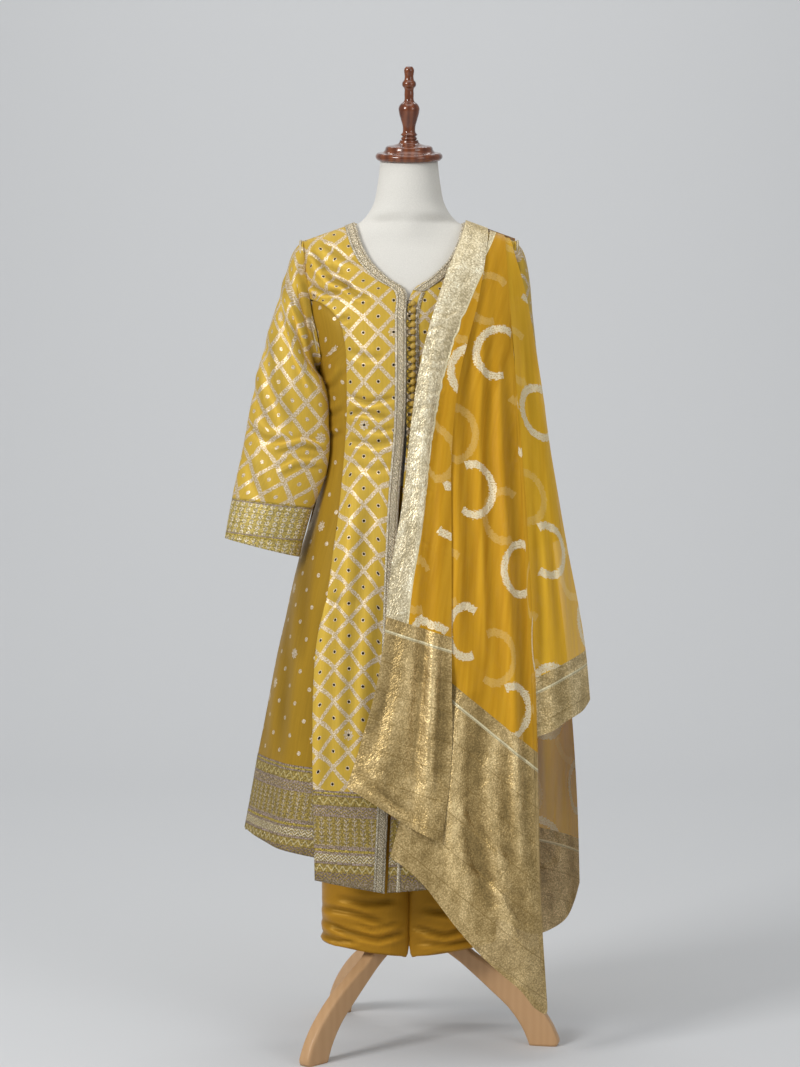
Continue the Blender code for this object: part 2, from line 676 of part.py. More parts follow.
for side, name in ((-1, "right"), (1, "left")):
    grid = front_grid(side)
    order = grid if side > 0 else mirrored(grid)
    panel, band = split(order, FRONT_BAND_ROW)
    sheet("kameez_front_" + name, panel, BROCADE)
    sheet("hem_border_front_" + name, band, ZARI)
    if side < 0:
        strip = [row[-2:] for row in moved_out(order, GAP + BRAID_WALL)]
        sheet("front_braid_right", strip, ZARI, BRAID_WALL)
    else:
        strip = [row[:3] for row in moved_out(order, GAP + BRAID_WALL)][:7]
        sheet("neck_braid_left", strip, ZARI, BRAID_WALL)
        lace = [row[1:3] for row in moved_out(order, GAP + BRAID_WALL)][7:]
        sheet("placket_lace_left", lace, ZARI, BRAID_WALL)
    grid = side_grid(side)
    order = grid if side > 0 else mirrored(grid)
    panel, band = split(order, SIDE_BAND_ROW)
    sheet("kameez_side_" + name, panel, PLAIN_SILK)
    sheet("hem_border_side_" + name, band, ZARI)

grid = back_grid()
panel, band = split(grid, BACK_BAND_ROW)
sheet("kameez_back", panel, BROCADE)
sheet("hem_border_back", band, ZARI)

# Buttons, a close row of cloth covered balls on the edge of the left front
edge_rows = [(row[1].z, -row[1].y) for row in front_grid(1)[7:]]
top_reach, top_depth = body_reach(1, PLACKET_Z), body_depth(-1, PLACKET_Z)
edge_rows.append((PLACKET_Z, bulge(BUTTON_X, top_reach, top_depth)))
for k in range(BUTTON_COUNT):
    z = BUTTON_TOP_Z - k * BUTTON_PITCH
    mesh = bpy.data.meshes.new("button")
    bm = bmesh.new()
    bmesh.ops.create_uvsphere(bm, u_segments=8, v_segments=4, radius=BUTTON_RADIUS)
    centre = (BUTTON_X, -straight(edge_rows, z) - BUTTON_RADIUS - 0.0004, z)
    bmesh.ops.translate(bm, verts=bm.verts, vec=centre)
    bm.to_mesh(mesh)
    bm.free()
    add_object("button_%02d" % (k + 1), mesh, ZARI)


# Sleeves. The first ring follows the armhole, the others lie between an outer and an inner edge.
def armhole_ring(side):
    ring = []
    for k in range(SLEEVE_STEPS):
        turn = 2 * math.pi * k / SLEEVE_STEPS
        height = 1.2353 + 0.1003 * math.cos(turn)
        x = spread(ARMHOLE, height)[0]
        face = -1 if math.sin(turn) > 0 else 1
        depth = bulge(x, body_reach(side, height) + 0.0035, body_depth(face, height))
        if k in (0, SLEEVE_STEPS // 2):
            depth = 0.0
        x += 0.0016 + body_reach(side, height) - body_reach(-1, height)
        ring.append(Vector((side * x, face * depth, height)))
    return ring


def sleeve_rings(side, table):
    rings = [armhole_ring(side)]
    for ox, oy, oz, ix, iy, iz, depth in table:
        outer, inner = Vector((side * ox, oy, oz)), Vector((side * ix, iy, iz))
        middle, half = (outer + inner) / 2, (outer - inner) / 2
        forward = Vector((0, -1, 0))
        forward = (forward - half.normalized() * forward.dot(half.normalized())).normalized()
        ring = []
        for k in range(SLEEVE_STEPS):
            turn = 2 * math.pi * k / SLEEVE_STEPS
            ring.append(middle + half * math.cos(turn) + forward * depth * math.sin(turn))
        rings.append(ring)
    return rings


for side, name, table in ((-1, "right", SLEEVE_RIGHT), (1, "left", SLEEVE_LEFT)):
    rings = sleeve_rings(side, table)
    if side < 0:
        rings = mirrored(rings)
    upper, cuff = split(rings, CUFF_ROW + 1)
    sheet("sleeve_" + name, upper, BROCADE, closed=True)
    sheet("cuff_" + name, cuff, ZARI, closed=True)


# Salwar
def oval(half, front, back, height, steps, power=2.0, centre=(0.0, 0.0)):
    """A ring of points, from the front round by +X. More power makes it squarer."""
    ring = []
    for k in range(steps):
        turn = 2 * math.pi * k / steps
        s, c = math.sin(turn), math.cos(turn)
        ring.append(Vector((
            centre[0] + math.copysign(abs(s) ** (2 / power), s) * half,
            centre[1] - math.copysign(abs(c) ** (2 / power), c) * (front if c > 0 else back),
            height,
        )))
    return ring


belt = [oval(half, front, back, z, FORM_STEPS, ROUNDNESS) for z, half, front, back in BELT]
sheet("salwar_belt", belt, SATIN, closed=True)
for side, name in ((-1, "right"), (1, "left")):
    rings = []
    for i, (z, cx, cy, half, depth) in enumerate(LEG):
        ring = oval(half, depth, depth, z, LEG_STEPS, 2.0, (cx, cy))
        hem = ease(0.34, 0.1535, z)
        for k, p in enumerate(ring):
            degrees = 360 * k / LEG_STEPS
            if degrees > 270:
                s, c = math.sin(math.radians(degrees)), math.cos(math.radians(degrees))
                p.x, p.y = cx - half * abs(s) ** LEG_SQUARE, cy - depth * abs(c) ** LEG_SQUARE
            lift = ease(305, 273, degrees) * ease(150, 205, degrees)
            p.z += hem * (0.155 * abs(p.x) + HEM_LIFT * lift)
            crease = math.cos(math.radians(degrees * 5 + 40)) * 0.0022 * ease(0.20, 0.5, hem)
            p.y -= crease if degrees < 75 or degrees > 310 else 0.0
        rings.append([Vector((side * p.x, p.y, p.z)) for p in ring])
    sheet("salwar_leg_" + name, rings if side > 0 else mirrored(rings), SATIN, closed=True)


# Dupatta
def veil_depth(face, x, height):
    side, front, back = spread(VEIL, height)
    under = height - VEIL_REST * ease(1.24, 1.32, height)
    reach = body_reach(1, under) + side
    depth = body_depth(face, under) + (front if face < 0 else back)
    return bulge(x, reach, depth, 2.3)


def shoulder_line(x):
    return 1.3680 - (x - 0.0860) * (1.3680 - 1.3350) / (0.1780 - 0.0860)


def fall_grid(lines, face, rows, columns):
    grid = []
    for i in range(rows + 1):
        t = (i / rows) ** 1.55
        row = []
        for j in range(columns + 1):
            s = j / columns
            x = along([along(line[0], t) for line in lines], s)
            top = shoulder_line(along([line[0][0] for line in lines], s)) + VEIL_REST
            top += along([line[2][0] for line in lines], s) * 0.001
            z = top + (along([line[1] for line in lines], s) - top) * t
            out = along([along(line[2], t) for line in lines], s) * 0.001
            depth = veil_depth(face, x, z) + out if i else VEIL_SEAM
            row.append(Vector((x, face * depth, z)))
        grid.append(row)
    return grid


sheet("dupatta_front_fall", fall_grid(FRONT_FALL, -1, 18, 8), ORGANZA, VEIL_WALL)
sheet("dupatta_middle_fall", fall_grid(MIDDLE_FALL, -1, 20, 12), ORGANZA, VEIL_WALL)
sheet("dupatta_side_fall", fall_grid(SIDE_FALL, -1, 15, 8), ORGANZA, VEIL_WALL)
sheet("dupatta_back_fall", mirrored(fall_grid(BACK_FALL, 1, 17, 12)), ORGANZA, VEIL_WALL)

# Dress form, its wooden neck cap and finial
shoulders = [
    (
        z,
        body_reach(1, z + FORM_CLEAR) - FORM_CLEAR - 0.003 * ease(1.335, 1.30, z),
        body_depth(-1, z + FORM_CLEAR) - FORM_CLEAR - 0.0025 * ease(1.350, 1.32, z),
        body_depth(1, z + FORM_CLEAR) - FORM_CLEAR - 0.0025 * ease(1.350, 1.32, z),
    )
    for z in FORM_SHOULDER_Z
]
rings = []
for z, half, front, back in sorted(FORM + shoulders, reverse=True):
    power = 2.0 + (ROUNDNESS - 2.0) * ease(1.38, 1.30, z)
    ring = oval(half, front, back, z, FORM_STEPS, power)
    for p in ring:
        p.z += p.y * math.tan(CAP_TILT) * ease(1.43, 1.469, z)
    rings.append(ring)
loft_solid("form_torso", rings, FORM_CLOTH)
turned("neck_cap", CAP_PROFILE, CAP_STEPS, CHERRY, (0.0, 0.0, CAP_Z), CAP_TILT)
top = CAP_PROFILE[-1][0] + GAP
turned(
    "finial", FINIAL_PROFILE, CAP_STEPS, CHERRY,
    (0.0, -math.sin(CAP_TILT) * top, CAP_Z + math.cos(CAP_TILT) * top), CAP_TILT,
)

# Stand: post, hub and three curved legs
def rod(name, radius, low, high, steps, finish):
    rings = []
    for z in (high, low):
        rings.append([
            (radius * math.sin(2 * math.pi * k / steps), radius * math.cos(2 * math.pi * k / steps), z)
            for k in range(steps)
        ])
    return loft_solid(name, rings, finish)


rod("stand_post", POST_RADIUS, POST_BOTTOM, FORM[-1][0] - GAP, 16, BEECH)
rod("stand_hub", HUB_RADIUS, HUB_BOTTOM, HUB_TOP, 20, BEECH)
for name, heading in LEG_HEADINGS.items():
    turn = math.radians(heading)
    ahead = Vector((math.sin(turn), -math.cos(turn), 0.0))
    aside = Vector((math.cos(turn), math.sin(turn), 0.0))
    mesh = bpy.data.meshes.new("stand_leg")
    bm = bmesh.new()
    outline = [bm.verts.new(ahead * r + aside * LEG_HALF_WIDTH + Vector((0, 0, z))) for r, z in STAND_LEG]
    face = bm.faces.new(outline)
    made = bmesh.ops.extrude_face_region(bm, geom=[face])
    moved = [v for v in made["geom"] if isinstance(v, bmesh.types.BMVert)]
    bmesh.ops.translate(bm, verts=moved, vec=aside * (-2 * LEG_HALF_WIDTH))
    bmesh.ops.recalc_face_normals(bm, faces=bm.faces)
    bm.to_mesh(mesh)
    bm.free()
    add_object("stand_leg_" + name, mesh, BEECH)

# The middle of the whole outline stands over the origin
for piece in suit.objects:
    piece.location.y += AXIS_Y
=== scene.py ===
# %% [markdown]
# # A salwar kameez suit on its dress form
#
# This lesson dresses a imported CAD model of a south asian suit: a long front-opening tunic (the
# kameez), straight trousers (the salwar) and a long sheer scarf (the dupatta) over one shoulder.
# The CAD solids hold the true walls of the cloth. Here each wall is woven again in finer mesh on
# the same named sizes, given its creases, and finished with materials made only of nodes.

# %% Load the frame and keep its size
import math

import bmesh
import bpy
import numpy as np
from mathutils import Matrix, Vector


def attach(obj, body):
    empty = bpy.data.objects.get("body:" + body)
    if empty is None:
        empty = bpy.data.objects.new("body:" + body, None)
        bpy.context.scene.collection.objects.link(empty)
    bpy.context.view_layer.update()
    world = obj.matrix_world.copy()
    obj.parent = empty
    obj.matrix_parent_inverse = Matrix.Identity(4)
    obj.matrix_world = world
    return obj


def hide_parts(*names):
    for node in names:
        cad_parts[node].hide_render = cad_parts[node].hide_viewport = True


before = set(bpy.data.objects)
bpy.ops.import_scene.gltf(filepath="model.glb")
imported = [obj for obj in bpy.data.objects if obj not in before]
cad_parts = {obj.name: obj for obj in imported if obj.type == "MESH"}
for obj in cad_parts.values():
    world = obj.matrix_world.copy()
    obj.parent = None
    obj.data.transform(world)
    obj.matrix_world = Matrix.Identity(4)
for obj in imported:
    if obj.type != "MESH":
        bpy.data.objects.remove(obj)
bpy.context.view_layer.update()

# %% [markdown]
# ## The camera comes first
#
# The photograph was taken from about four metres, with the lens a metre above the floor and
# tipped down by two degrees. A portrait frame measures its lens along the tall side, so 81 mm on
# a 36 mm side gives the same field of view.

# %% Camera
AXIS_Y = -0.0100  # the form's axis stands this far in front of the origin
CAMERA_AT = Vector((-0.015, AXIS_Y - 4.0, 1.0))
CAMERA_TIP = math.radians(2.16)
camera_data = bpy.data.cameras.new("camera")
camera_data.lens = 80.84
camera_data.sensor_width = 36.0
camera = bpy.data.objects.new("camera", camera_data)
camera.location = CAMERA_AT
camera.rotation_euler = (math.pi / 2 - CAMERA_TIP, 0.0, 0.0)
bpy.context.scene.collection.objects.link(camera)
bpy.context.scene.camera = camera

# %% [markdown]
# ## Colours and nodes
#
# Colours are written as sRGB hex, as a colour picker gives them, and one function turns them to
# the linear values that a shader works in. Another function adds any node: it takes the node's
# kind, what goes into its sockets, and its settings, and it gives back the socket that comes out.

# %% Colour and node helpers
def linear(hex_colour):
    """The four linear values of an sRGB hex colour."""
    values = [int(hex_colour[i : i + 2], 16) / 255 for i in (1, 3, 5)]
    return [v / 12.92 if v <= 0.04045 else ((v + 0.055) / 1.055) ** 2.4 for v in values] + [1.0]


def node(tree, kind, *takes, gives=0, into=None, **settings):
    """Adds a node. takes fill its sockets in order, into fills them by name or place. A text
    is a colour."""
    kind, _, operation = kind.partition(":")
    made = tree.nodes.new("ShaderNode" + kind)
    if operation:
        made.operation = operation
    for name, value in settings.items():
        setattr(made, name, value)
    for place, value in list(enumerate(takes)) + list((into or {}).items()):
        if isinstance(value, bpy.types.NodeSocket):
            tree.links.new(value, made.inputs[place])
        elif value is not None:
            made.inputs[place].default_value = linear(value) if isinstance(value, str) else value
    return made.outputs[gives]


TIMES, PLUS, MINUS = "Math:MULTIPLY", "Math:ADD", "Math:SUBTRACT"
BLEND = {"gives": 2, "data_type": "RGBA"}  # a Mix of two colours, at its places 6 and 7


def new_material(name, roughness, metallic=0.0, shine=0.35, tint="#FFFFFF"):
    """A material, its tree and its shader. The tint colours the shine, as dyed threads do."""
    material = bpy.data.materials.new(name)
    material.use_nodes = True
    shader = material.node_tree.nodes["Principled BSDF"]
    shader.inputs["Roughness"].default_value = roughness
    shader.inputs["Metallic"].default_value = metallic
    shader.inputs["Specular IOR Level"].default_value = shine
    shader.inputs["Specular Tint"].default_value = linear(tint)
    return material, material.node_tree, shader


def flat_place(tree, layer):
    """The two flat coordinates of a cloth, in metres, and both in one."""
    place = node(tree, "UVMap", uv_map=layer)
    return node(tree, "SeparateXYZ", place), node(tree, "SeparateXYZ", place, gives=1), place


def thread_noise(tree, place, along, across, detail=2.0):
    """Noise drawn out along one direction, for threads, slubs and woven metal."""
    scaled = node(tree, "Mapping", place, into={"Scale": (1 / across, 1 / along, 1.0)})
    return node(tree, "TexNoise", scaled, into={"Scale": 1.0, "Detail": detail})


def fold_light(tree, hollow, ridge):
    """Cloth is darker in a hollow and brighter on a ridge, which soft light alone hardly shows."""
    out = node(tree, "SeparateXYZ", node(tree, "UVMap", uv_map="Folds"))
    return node(tree, "MapRange", out, -0.004, 0.004, hollow, ridge)


# %% [markdown]
# ## The named sizes of the kameez
#
# The tables are the same that the CAD part was made from: the tunic's outline by height, and for
# each panel where its rows start and end. A pattern cutter would call them the draft.

# %% Sizes of the kameez
# Cloth and seams
WALL = 0.0012  # silk with its lining
BRAID_WALL = 0.0010  # braid sewn on top of a panel
GAP = 0.0004  # between two pieces along a seam
SEAM_HALF = 0.0007  # half the space along the shoulder line, where two walls lean together
ROUNDNESS = 2.15  # 2 is an ellipse, more is squarer

# Kameez
PLACKET_Z = 1.248  # bottom of the neck opening
BRAID_WIDTH = 0.018
LACE_FROM, LACE_TO = 0.0145, 0.0205
BUTTON_RADIUS = 0.0048
BUTTON_COUNT = 21
BUTTON_PITCH = 0.0116
BUTTON_TOP_Z = 1.226
BUTTON_X = 0.0062

# The shoulder line runs straight from the neck to the shoulder point: height and half width
NECK_Z, NECK_X = 1.3680, 0.0860
SHOULDER_Z, SHOULDER_X = 1.3350, 0.1780

# Outside of the kameez: height, half width on the wearer's right and left, depth front and back
BODY = [
    # height, right, left, front, back
    (1.368, 0.086, 0.086, 0.044, 0.044),
    (1.335, 0.178, 0.178, 0.058, 0.058),
    (1.300, 0.181, 0.179, 0.080, 0.074),
    (1.250, 0.178, 0.176, 0.101, 0.088),
    (1.200, 0.170, 0.168, 0.116, 0.098),
    (1.150, 0.155, 0.153, 0.124, 0.102),
    (1.100, 0.147, 0.145, 0.127, 0.102),
    (1.050, 0.143, 0.140, 0.124, 0.100),
    (1.000, 0.142, 0.138, 0.120, 0.098),
    (0.950, 0.147, 0.141, 0.122, 0.107),
    (0.900, 0.158, 0.148, 0.126, 0.116),
    (0.850, 0.172, 0.157, 0.131, 0.124),
    (0.800, 0.186, 0.165, 0.136, 0.131),
    (0.700, 0.208, 0.178, 0.145, 0.140),
    (0.600, 0.227, 0.190, 0.152, 0.147),
    (0.500, 0.245, 0.200, 0.158, 0.153),
    (0.400, 0.262, 0.208, 0.164, 0.159),
    (0.340, 0.273, 0.213, 0.168, 0.163),
    (0.260, 0.283, 0.218, 0.173, 0.167),
]

# Front panel: the inner end of each row is the neck and front edge, the outer end is the armhole
# and then the princess seam. Both are distances from the centre line.
FRONT_ROWS = [
    # inner height, inner x, outer height, outer x
    (1.3660, 0.0900, 1.3356, 0.1764),
    (1.3622, 0.0888, 1.3310, 0.1762),
    (1.3530, 0.0858, 1.3190, 0.1755),
    (1.3300, 0.0790, 1.2920, 0.1735),
    (1.2970, 0.0620, 1.2640, 0.1712),
    (1.2700, 0.0360, 1.2420, 0.1690),
    (1.2480, 0.0062, 1.2280, 0.1420),
    (1.2050, 0.0052, 1.2000, 0.1150),
    (1.1600, 0.0050, 1.1600, 0.1045),
    (1.1000, 0.0050, 1.1000, 0.1020),
    (1.0450, 0.0060, 1.0450, 0.1020),
    (0.9950, 0.0090, 0.9950, 0.1052),
    (0.9450, 0.0135, 0.9450, 0.1095),
    (0.8850, 0.0175, 0.8850, 0.1155),
    (0.8200, 0.0205, 0.8200, 0.1245),
    (0.7500, 0.0235, 0.7500, 0.1335),
    (0.6800, 0.0260, 0.6800, 0.1500),
    (0.6000, 0.0285, 0.6000, 0.1560),
    (0.5150, 0.0308, 0.5150, 0.1568),
    (0.4310, 0.0330, 0.4340, 0.1560),
    (0.3550, 0.0365, 0.3650, 0.1545),
    (0.2760, 0.0400, 0.2930, 0.1530),
]
FRONT_BAND_ROW = 19  # the hem border starts at this row
NECK_ROWS = 7  # rows down to the bottom of the neck opening
UNDERLAP = 0.0045  # below it the left front passes the centre line, under the right one

# Side panel: inner end on the princess seam, outer end on the armhole and then the side seam
SIDE_ROWS = [
    # inner height, inner x, outer height, outer x (0 is the side seam itself)
    (1.227, 0.1428, 1.225, 0.1655),
    (1.200, 0.1156, 1.185, 0.1540),
    (1.160, 0.1051, 1.150, 0.1480),
    (1.130, 0.1040, 1.135, 0.0),
    (1.090, 0.1026, 1.090, 0.0),
    (1.045, 0.1026, 1.045, 0.0),
    (0.995, 0.1058, 0.995, 0.0),
    (0.945, 0.1101, 0.945, 0.0),
    (0.885, 0.1161, 0.885, 0.0),
    (0.820, 0.1251, 0.820, 0.0),
    (0.750, 0.1341, 0.750, 0.0),
    (0.680, 0.1490, 0.690, 0.0),
    (0.610, 0.1500, 0.625, 0.0),
    (0.535, 0.1450, 0.550, 0.0),
    (0.464, 0.1420, 0.474, 0.0),
    (0.395, 0.1390, 0.415, 0.0),
    (0.323, 0.1370, 0.356, 0.0),
]
SIDE_BAND_ROW = 14
SIDE_TUCK = [(0.85, 0.0), (0.76, 0.0022), (0.68, 0.0050), (0.50, 0.0120), (0.30, 0.0190)]

# Back panel: height at the side seam or armhole, half width there (0 is the side seam itself)
BACK_ROWS = [
    # height, half width
    (1.3356, 0.1764),
    (1.3310, 0.1760),
    (1.3190, 0.1750),
    (1.2900, 0.1735),
    (1.2500, 0.1700),
    (1.2100, 0.1620),
    (1.1700, 0.1500),
    (1.1350, 0.0),
    (1.0450, 0.0),
    (0.9600, 0.0),
    (0.8750, 0.0),
    (0.7800, 0.0),
    (0.6700, 0.0),
    (0.5700, 0.0),
    (0.4700, 0.0),
    (0.3950, 0.0),
    (0.3300, 0.0),
]
BACK_BAND_ROW = 14
BACK_NECK_Z = 1.3420
BACK_NECK_HALF = 0.0900
BACK_YOKE = [0.0, 0.26, 0.42, 0.492, 0.5105, 0.70, 0.88, 1.0]  # share of the half width
VEIL_SEAM = 0.0004  # from the middle of the shoulder to the first row of the dupatta
SKIRT_FOLD = 0.0075  # depth of the folds of the skirt at the hem


# %% Curves and sections
def spread(table, height):
    """Every column of a table at this height, along a smooth curve through its rows."""
    rows = sorted(table)
    if height <= rows[0][0]:
        return list(rows[0][1:])
    if height >= rows[-1][0]:
        return list(rows[-1][1:])
    place = next(i for i in range(len(rows) - 1) if rows[i + 1][0] >= height)
    low, high = rows[place], rows[place + 1]
    before = rows[max(place - 1, 0)]
    after = rows[min(place + 2, len(rows) - 1)]
    step = high[0] - low[0]
    t = (height - low[0]) / step
    found = []
    for c in range(1, len(low)):
        slope_low = (high[c] - before[c]) / (high[0] - before[0]) * step
        slope_high = (after[c] - low[c]) / (after[0] - low[0]) * step
        found.append(
            (2 * t**3 - 3 * t**2 + 1) * low[c]
            + (t**3 - 2 * t**2 + t) * slope_low
            + (3 * t**2 - 2 * t**3) * high[c]
            + (t**3 - t**2) * slope_high
        )
    return found


def straight(table, height):
    """The second column of a table at this height, along straight lines."""
    rows = sorted(table)
    if height <= rows[0][0]:
        return rows[0][1]
    for low, high in zip(rows, rows[1:]):
        if height <= high[0]:
            return low[1] + (high[1] - low[1]) * (height - low[0]) / (high[0] - low[0])
    return rows[-1][1]


def along(values, t):
    """A smooth curve through evenly spaced values, at t from 0 to 1."""
    place = min(int(t * (len(values) - 1)), len(values) - 2)
    t = t * (len(values) - 1) - place
    low, high = values[place], values[place + 1]
    before = values[max(place - 1, 0)]
    after = values[min(place + 2, len(values) - 1)]
    return 0.5 * (
        2 * low
        + (high - before) * t
        + (2 * before - 5 * low + 4 * high - after) * t**2
        + (3 * low - before - 3 * high + after) * t**3
    )


def ease(low, high, value):
    """0 up to low, 1 from high on, and smooth between them."""
    t = min(max((value - low) / (high - low), 0.0), 1.0)
    return t * t * (3 - 2 * t)


def bulge(x, reach, depth, power=ROUNDNESS):
    """Depth of a rounded section at x, where it reaches this far and is this deep."""
    inside = max(1.0 - (abs(x) / reach) ** power, 0.0)
    return depth * inside ** (1.0 / power)


def body_reach(side, height):
    """Half width of the kameez on one side, at this height. The shoulder line is straight."""
    if height > SHOULDER_Z:
        share = (height - SHOULDER_Z) / (NECK_Z - SHOULDER_Z)
        return SHOULDER_X + (NECK_X - SHOULDER_X) * share
    right, left = spread(BODY, height)[:2]
    return right if side < 0 else left


def body_depth(face, height):
    front, back = spread(BODY, height)[2:]
    return front if face < 0 else back


def kameez_point(side, face, angle, height):
    """A point of the body's section: angle 0 is the centre line and 90 degrees is the side."""
    reach, depth = body_reach(side, height), body_depth(face, height)
    s, c = math.sin(angle), max(math.cos(angle), 0.0)
    return Vector((
        side * reach * s ** (2 / ROUNDNESS),
        face * depth * c ** (2 / ROUNDNESS),
        height,
    ))


def angle_of(x, reach):
    return math.asin(min(abs(x) / reach, 1.0) ** (ROUNDNESS / 2))


def skirt_fold(side, face, angle, height):
    """How far the skirt stands out at this place: soft folds that open towards the hem."""
    grown = ease(0.92, 0.33, height)
    degrees = math.degrees(angle)
    if face < 0:
        wave = math.cos(math.radians(degrees * 7.5 + (20 if side < 0 else 75)))
        return SKIRT_FOLD * grown * ease(30, 70, degrees) * 0.8 * wave
    wave = math.cos(math.radians(degrees * 7.0))
    return SKIRT_FOLD * grown * wave


# %% Panels of the kameez as coarse grids
def front_grid(side):
    """One front panel, from the neck and slit out to the armhole and princess seam."""
    grid = []
    for i, (inner_z, inner_x, outer_z, outer_x) in enumerate(FRONT_ROWS):
        if side > 0:
            inner_x = inner_x + 0.0002 if i < NECK_ROWS else -UNDERLAP - max(inner_x - 0.009, 0.0)
            outer_x -= 0.0 if i < NECK_ROWS - 1 else 0.002
        row = []
        width = abs(outer_x - inner_x)
        if side < 0:
            marks, more = [0.0, BRAID_WIDTH], 5
        elif i < NECK_ROWS:
            marks, more = [0.0, BRAID_WIDTH * 0.9, BRAID_WIDTH], 4
        else:
            marks, more = [0.0, LACE_FROM, LACE_TO], 4
        turning = 1.25 if i < NECK_ROWS else 0.9
        for k in range(len(marks) + more):
            if k < len(marks):
                x = inner_x + marks[k]
            else:
                step = math.sin(turning * (k - len(marks) + 1) / more) / math.sin(turning)
                x = inner_x + marks[-1] + (outer_x - inner_x - marks[-1]) * step
            share = (x - inner_x) / width
            height = inner_z + (outer_z - inner_z) * share
            reach = body_reach(side, height)
            depth = body_depth(-1, height)
            angle = angle_of(x, reach)
            y = -bulge(x, reach, depth) if i else -SEAM_HALF
            y -= skirt_fold(side, -1, angle, height)
            if side > 0:
                y += 0.0038 * ease(0.02, -0.012, x) * ease(1.0, 0.93, height)
            row.append(Vector((side * x, y, height)))
        grid.append(row)
    return grid


def side_grid(side):
    """One side panel, from the princess seam round to the side seam."""
    grid = []
    for inner_z, inner_x, outer_z, outer_x in SIDE_ROWS:
        if side > 0:
            inner_x -= 0.002 if inner_z < 1.2 else 0.0
        row = []
        for k in range(6):
            share = k / 5
            height = inner_z + (outer_z - inner_z) * share
            reach = body_reach(side, height)
            start = angle_of(inner_x, body_reach(side, inner_z))
            stop = (
                angle_of(outer_x, body_reach(side, outer_z)) if outer_x else math.pi / 2 - 0.002
            )
            angle = start + (stop - start) * share
            point = kameez_point(side, -1, angle, height)
            out = skirt_fold(side, -1, angle, height)
            out -= straight(SIDE_TUCK, height) * (1 - share) ** 0.8
            flat = Vector((point.x / reach, point.y / body_depth(-1, height), 0)).normalized()
            row.append(point + flat * out)
        grid.append(row)
    return grid


def back_grid():
    """The back in one piece, with a shallow neck and a hem that dips at the sides."""
    grid = []
    for i, (row_z, row_x) in enumerate(BACK_ROWS):
        row = []
        rise = ease(1.16, 1.3356, row_z)
        for k in range(-7, 8):
            side = 1 if k > 0 else -1
            share = abs(k) / 7
            reach = body_reach(side, row_z)
            stop = angle_of(row_x, reach) if row_x else math.pi / 2 - 0.002
            x = reach * math.sin(stop * share) ** (2 / ROUNDNESS)
            yoke = ease(1.25, 1.331, row_z)
            if row_x:
                x += (BACK_YOKE[abs(k)] * row_x - x) * yoke
            height = row_z
            # the top edge follows the shoulder seam, and dips between the shoulders for the neck
            crown = 1.3660 - (1.3660 - 1.3356) * max(x - NECK_X, 0.0) / (0.1764 - NECK_X)
            if x < BACK_NECK_HALF:
                crown = BACK_NECK_Z + (1.3652 - BACK_NECK_Z) * (x / BACK_NECK_HALF) ** 1.5
            height += (crown - 1.3356) * rise
            height += 0.022 * ease(0.62, 0.34, row_z) * (x / reach) ** 2
            reach = body_reach(side, height)
            y = bulge(x, reach, body_depth(1, height))
            if i == 0 and x >= BACK_NECK_HALF - 0.001:
                y = 0.0
            y = max(y, SEAM_HALF)
            out = skirt_fold(side, 1, angle_of(x, reach), height) if x < reach else 0
            row.append(Vector((side * x, y + out, height)))
        grid.append(row)
    return [list(reversed(row)) for row in grid]


# %% Sizes of the sleeves
# Sleeves: outer edge and inner edge of each ring, and the ring's half depth
ARMHOLE = [
    # height, x on the front and back of the armhole
    (1.3356, 0.1780),
    (1.3180, 0.1772),
    (1.2900, 0.1752),
    (1.2500, 0.1714),
    (1.2100, 0.1630),
    (1.1700, 0.1520),
    (1.1450, 0.1492),
    (1.1350, 0.1515),
]
SLEEVE_RIGHT = [
    # outer x, outer y, outer z, inner x, inner y, inner z, half depth
    (0.1930, -0.002, 1.3130, 0.1560, -0.014, 1.1210, 0.050),
    (0.2060, -0.006, 1.2700, 0.1550, -0.030, 1.1100, 0.047),
    (0.2200, -0.010, 1.2220, 0.1495, -0.044, 1.0940, 0.044),
    (0.2360, -0.016, 1.1700, 0.1430, -0.055, 1.0660, 0.041),
    (0.2520, -0.020, 1.1050, 0.1385, -0.062, 1.0300, 0.037),
    (0.2640, -0.024, 1.0450, 0.1375, -0.064, 0.9980, 0.032),
    (0.2740, -0.026, 0.9900, 0.1420, -0.062, 0.9620, 0.032),
    (0.2840, -0.027, 0.9450, 0.1520, -0.060, 0.9260, 0.033),
    (0.2925, -0.028, 0.9065, 0.1655, -0.057, 0.8915, 0.034),
    (0.2990, -0.029, 0.8740, 0.1760, -0.054, 0.8520, 0.035),
    (0.3043, -0.030, 0.8432, 0.1830, -0.052, 0.8130, 0.036),
]
SLEEVE_LEFT = [
    # outer x, outer y, outer z, inner x, inner y, inner z, half depth
    (0.191, -0.002, 1.3120, 0.1560, -0.010, 1.1210, 0.049),
    (0.199, -0.005, 1.2700, 0.1550, -0.022, 1.1090, 0.047),
    (0.203, -0.008, 1.2220, 0.1530, -0.030, 1.0920, 0.045),
    (0.208, -0.012, 1.1700, 0.1510, -0.036, 1.0640, 0.043),
    (0.214, -0.016, 1.1050, 0.1490, -0.040, 1.0300, 0.042),
    (0.221, -0.020, 1.0450, 0.1495, -0.042, 0.9980, 0.041),
    (0.229, -0.022, 0.9900, 0.1520, -0.044, 0.9620, 0.041),
    (0.236, -0.024, 0.9450, 0.1570, -0.046, 0.9260, 0.041),
    (0.242, -0.025, 0.9065, 0.1630, -0.048, 0.8915, 0.041),
    (0.247, -0.026, 0.8740, 0.1680, -0.049, 0.8520, 0.042),
    (0.252, -0.028, 0.8432, 0.1730, -0.050, 0.8130, 0.042),
]
CUFF_ROW = 8
SLEEVE_STEPS = 20
ARMHOLE_MIDDLE, ARMHOLE_HALF = 1.2353, 0.1003  # height of its middle, half its own height


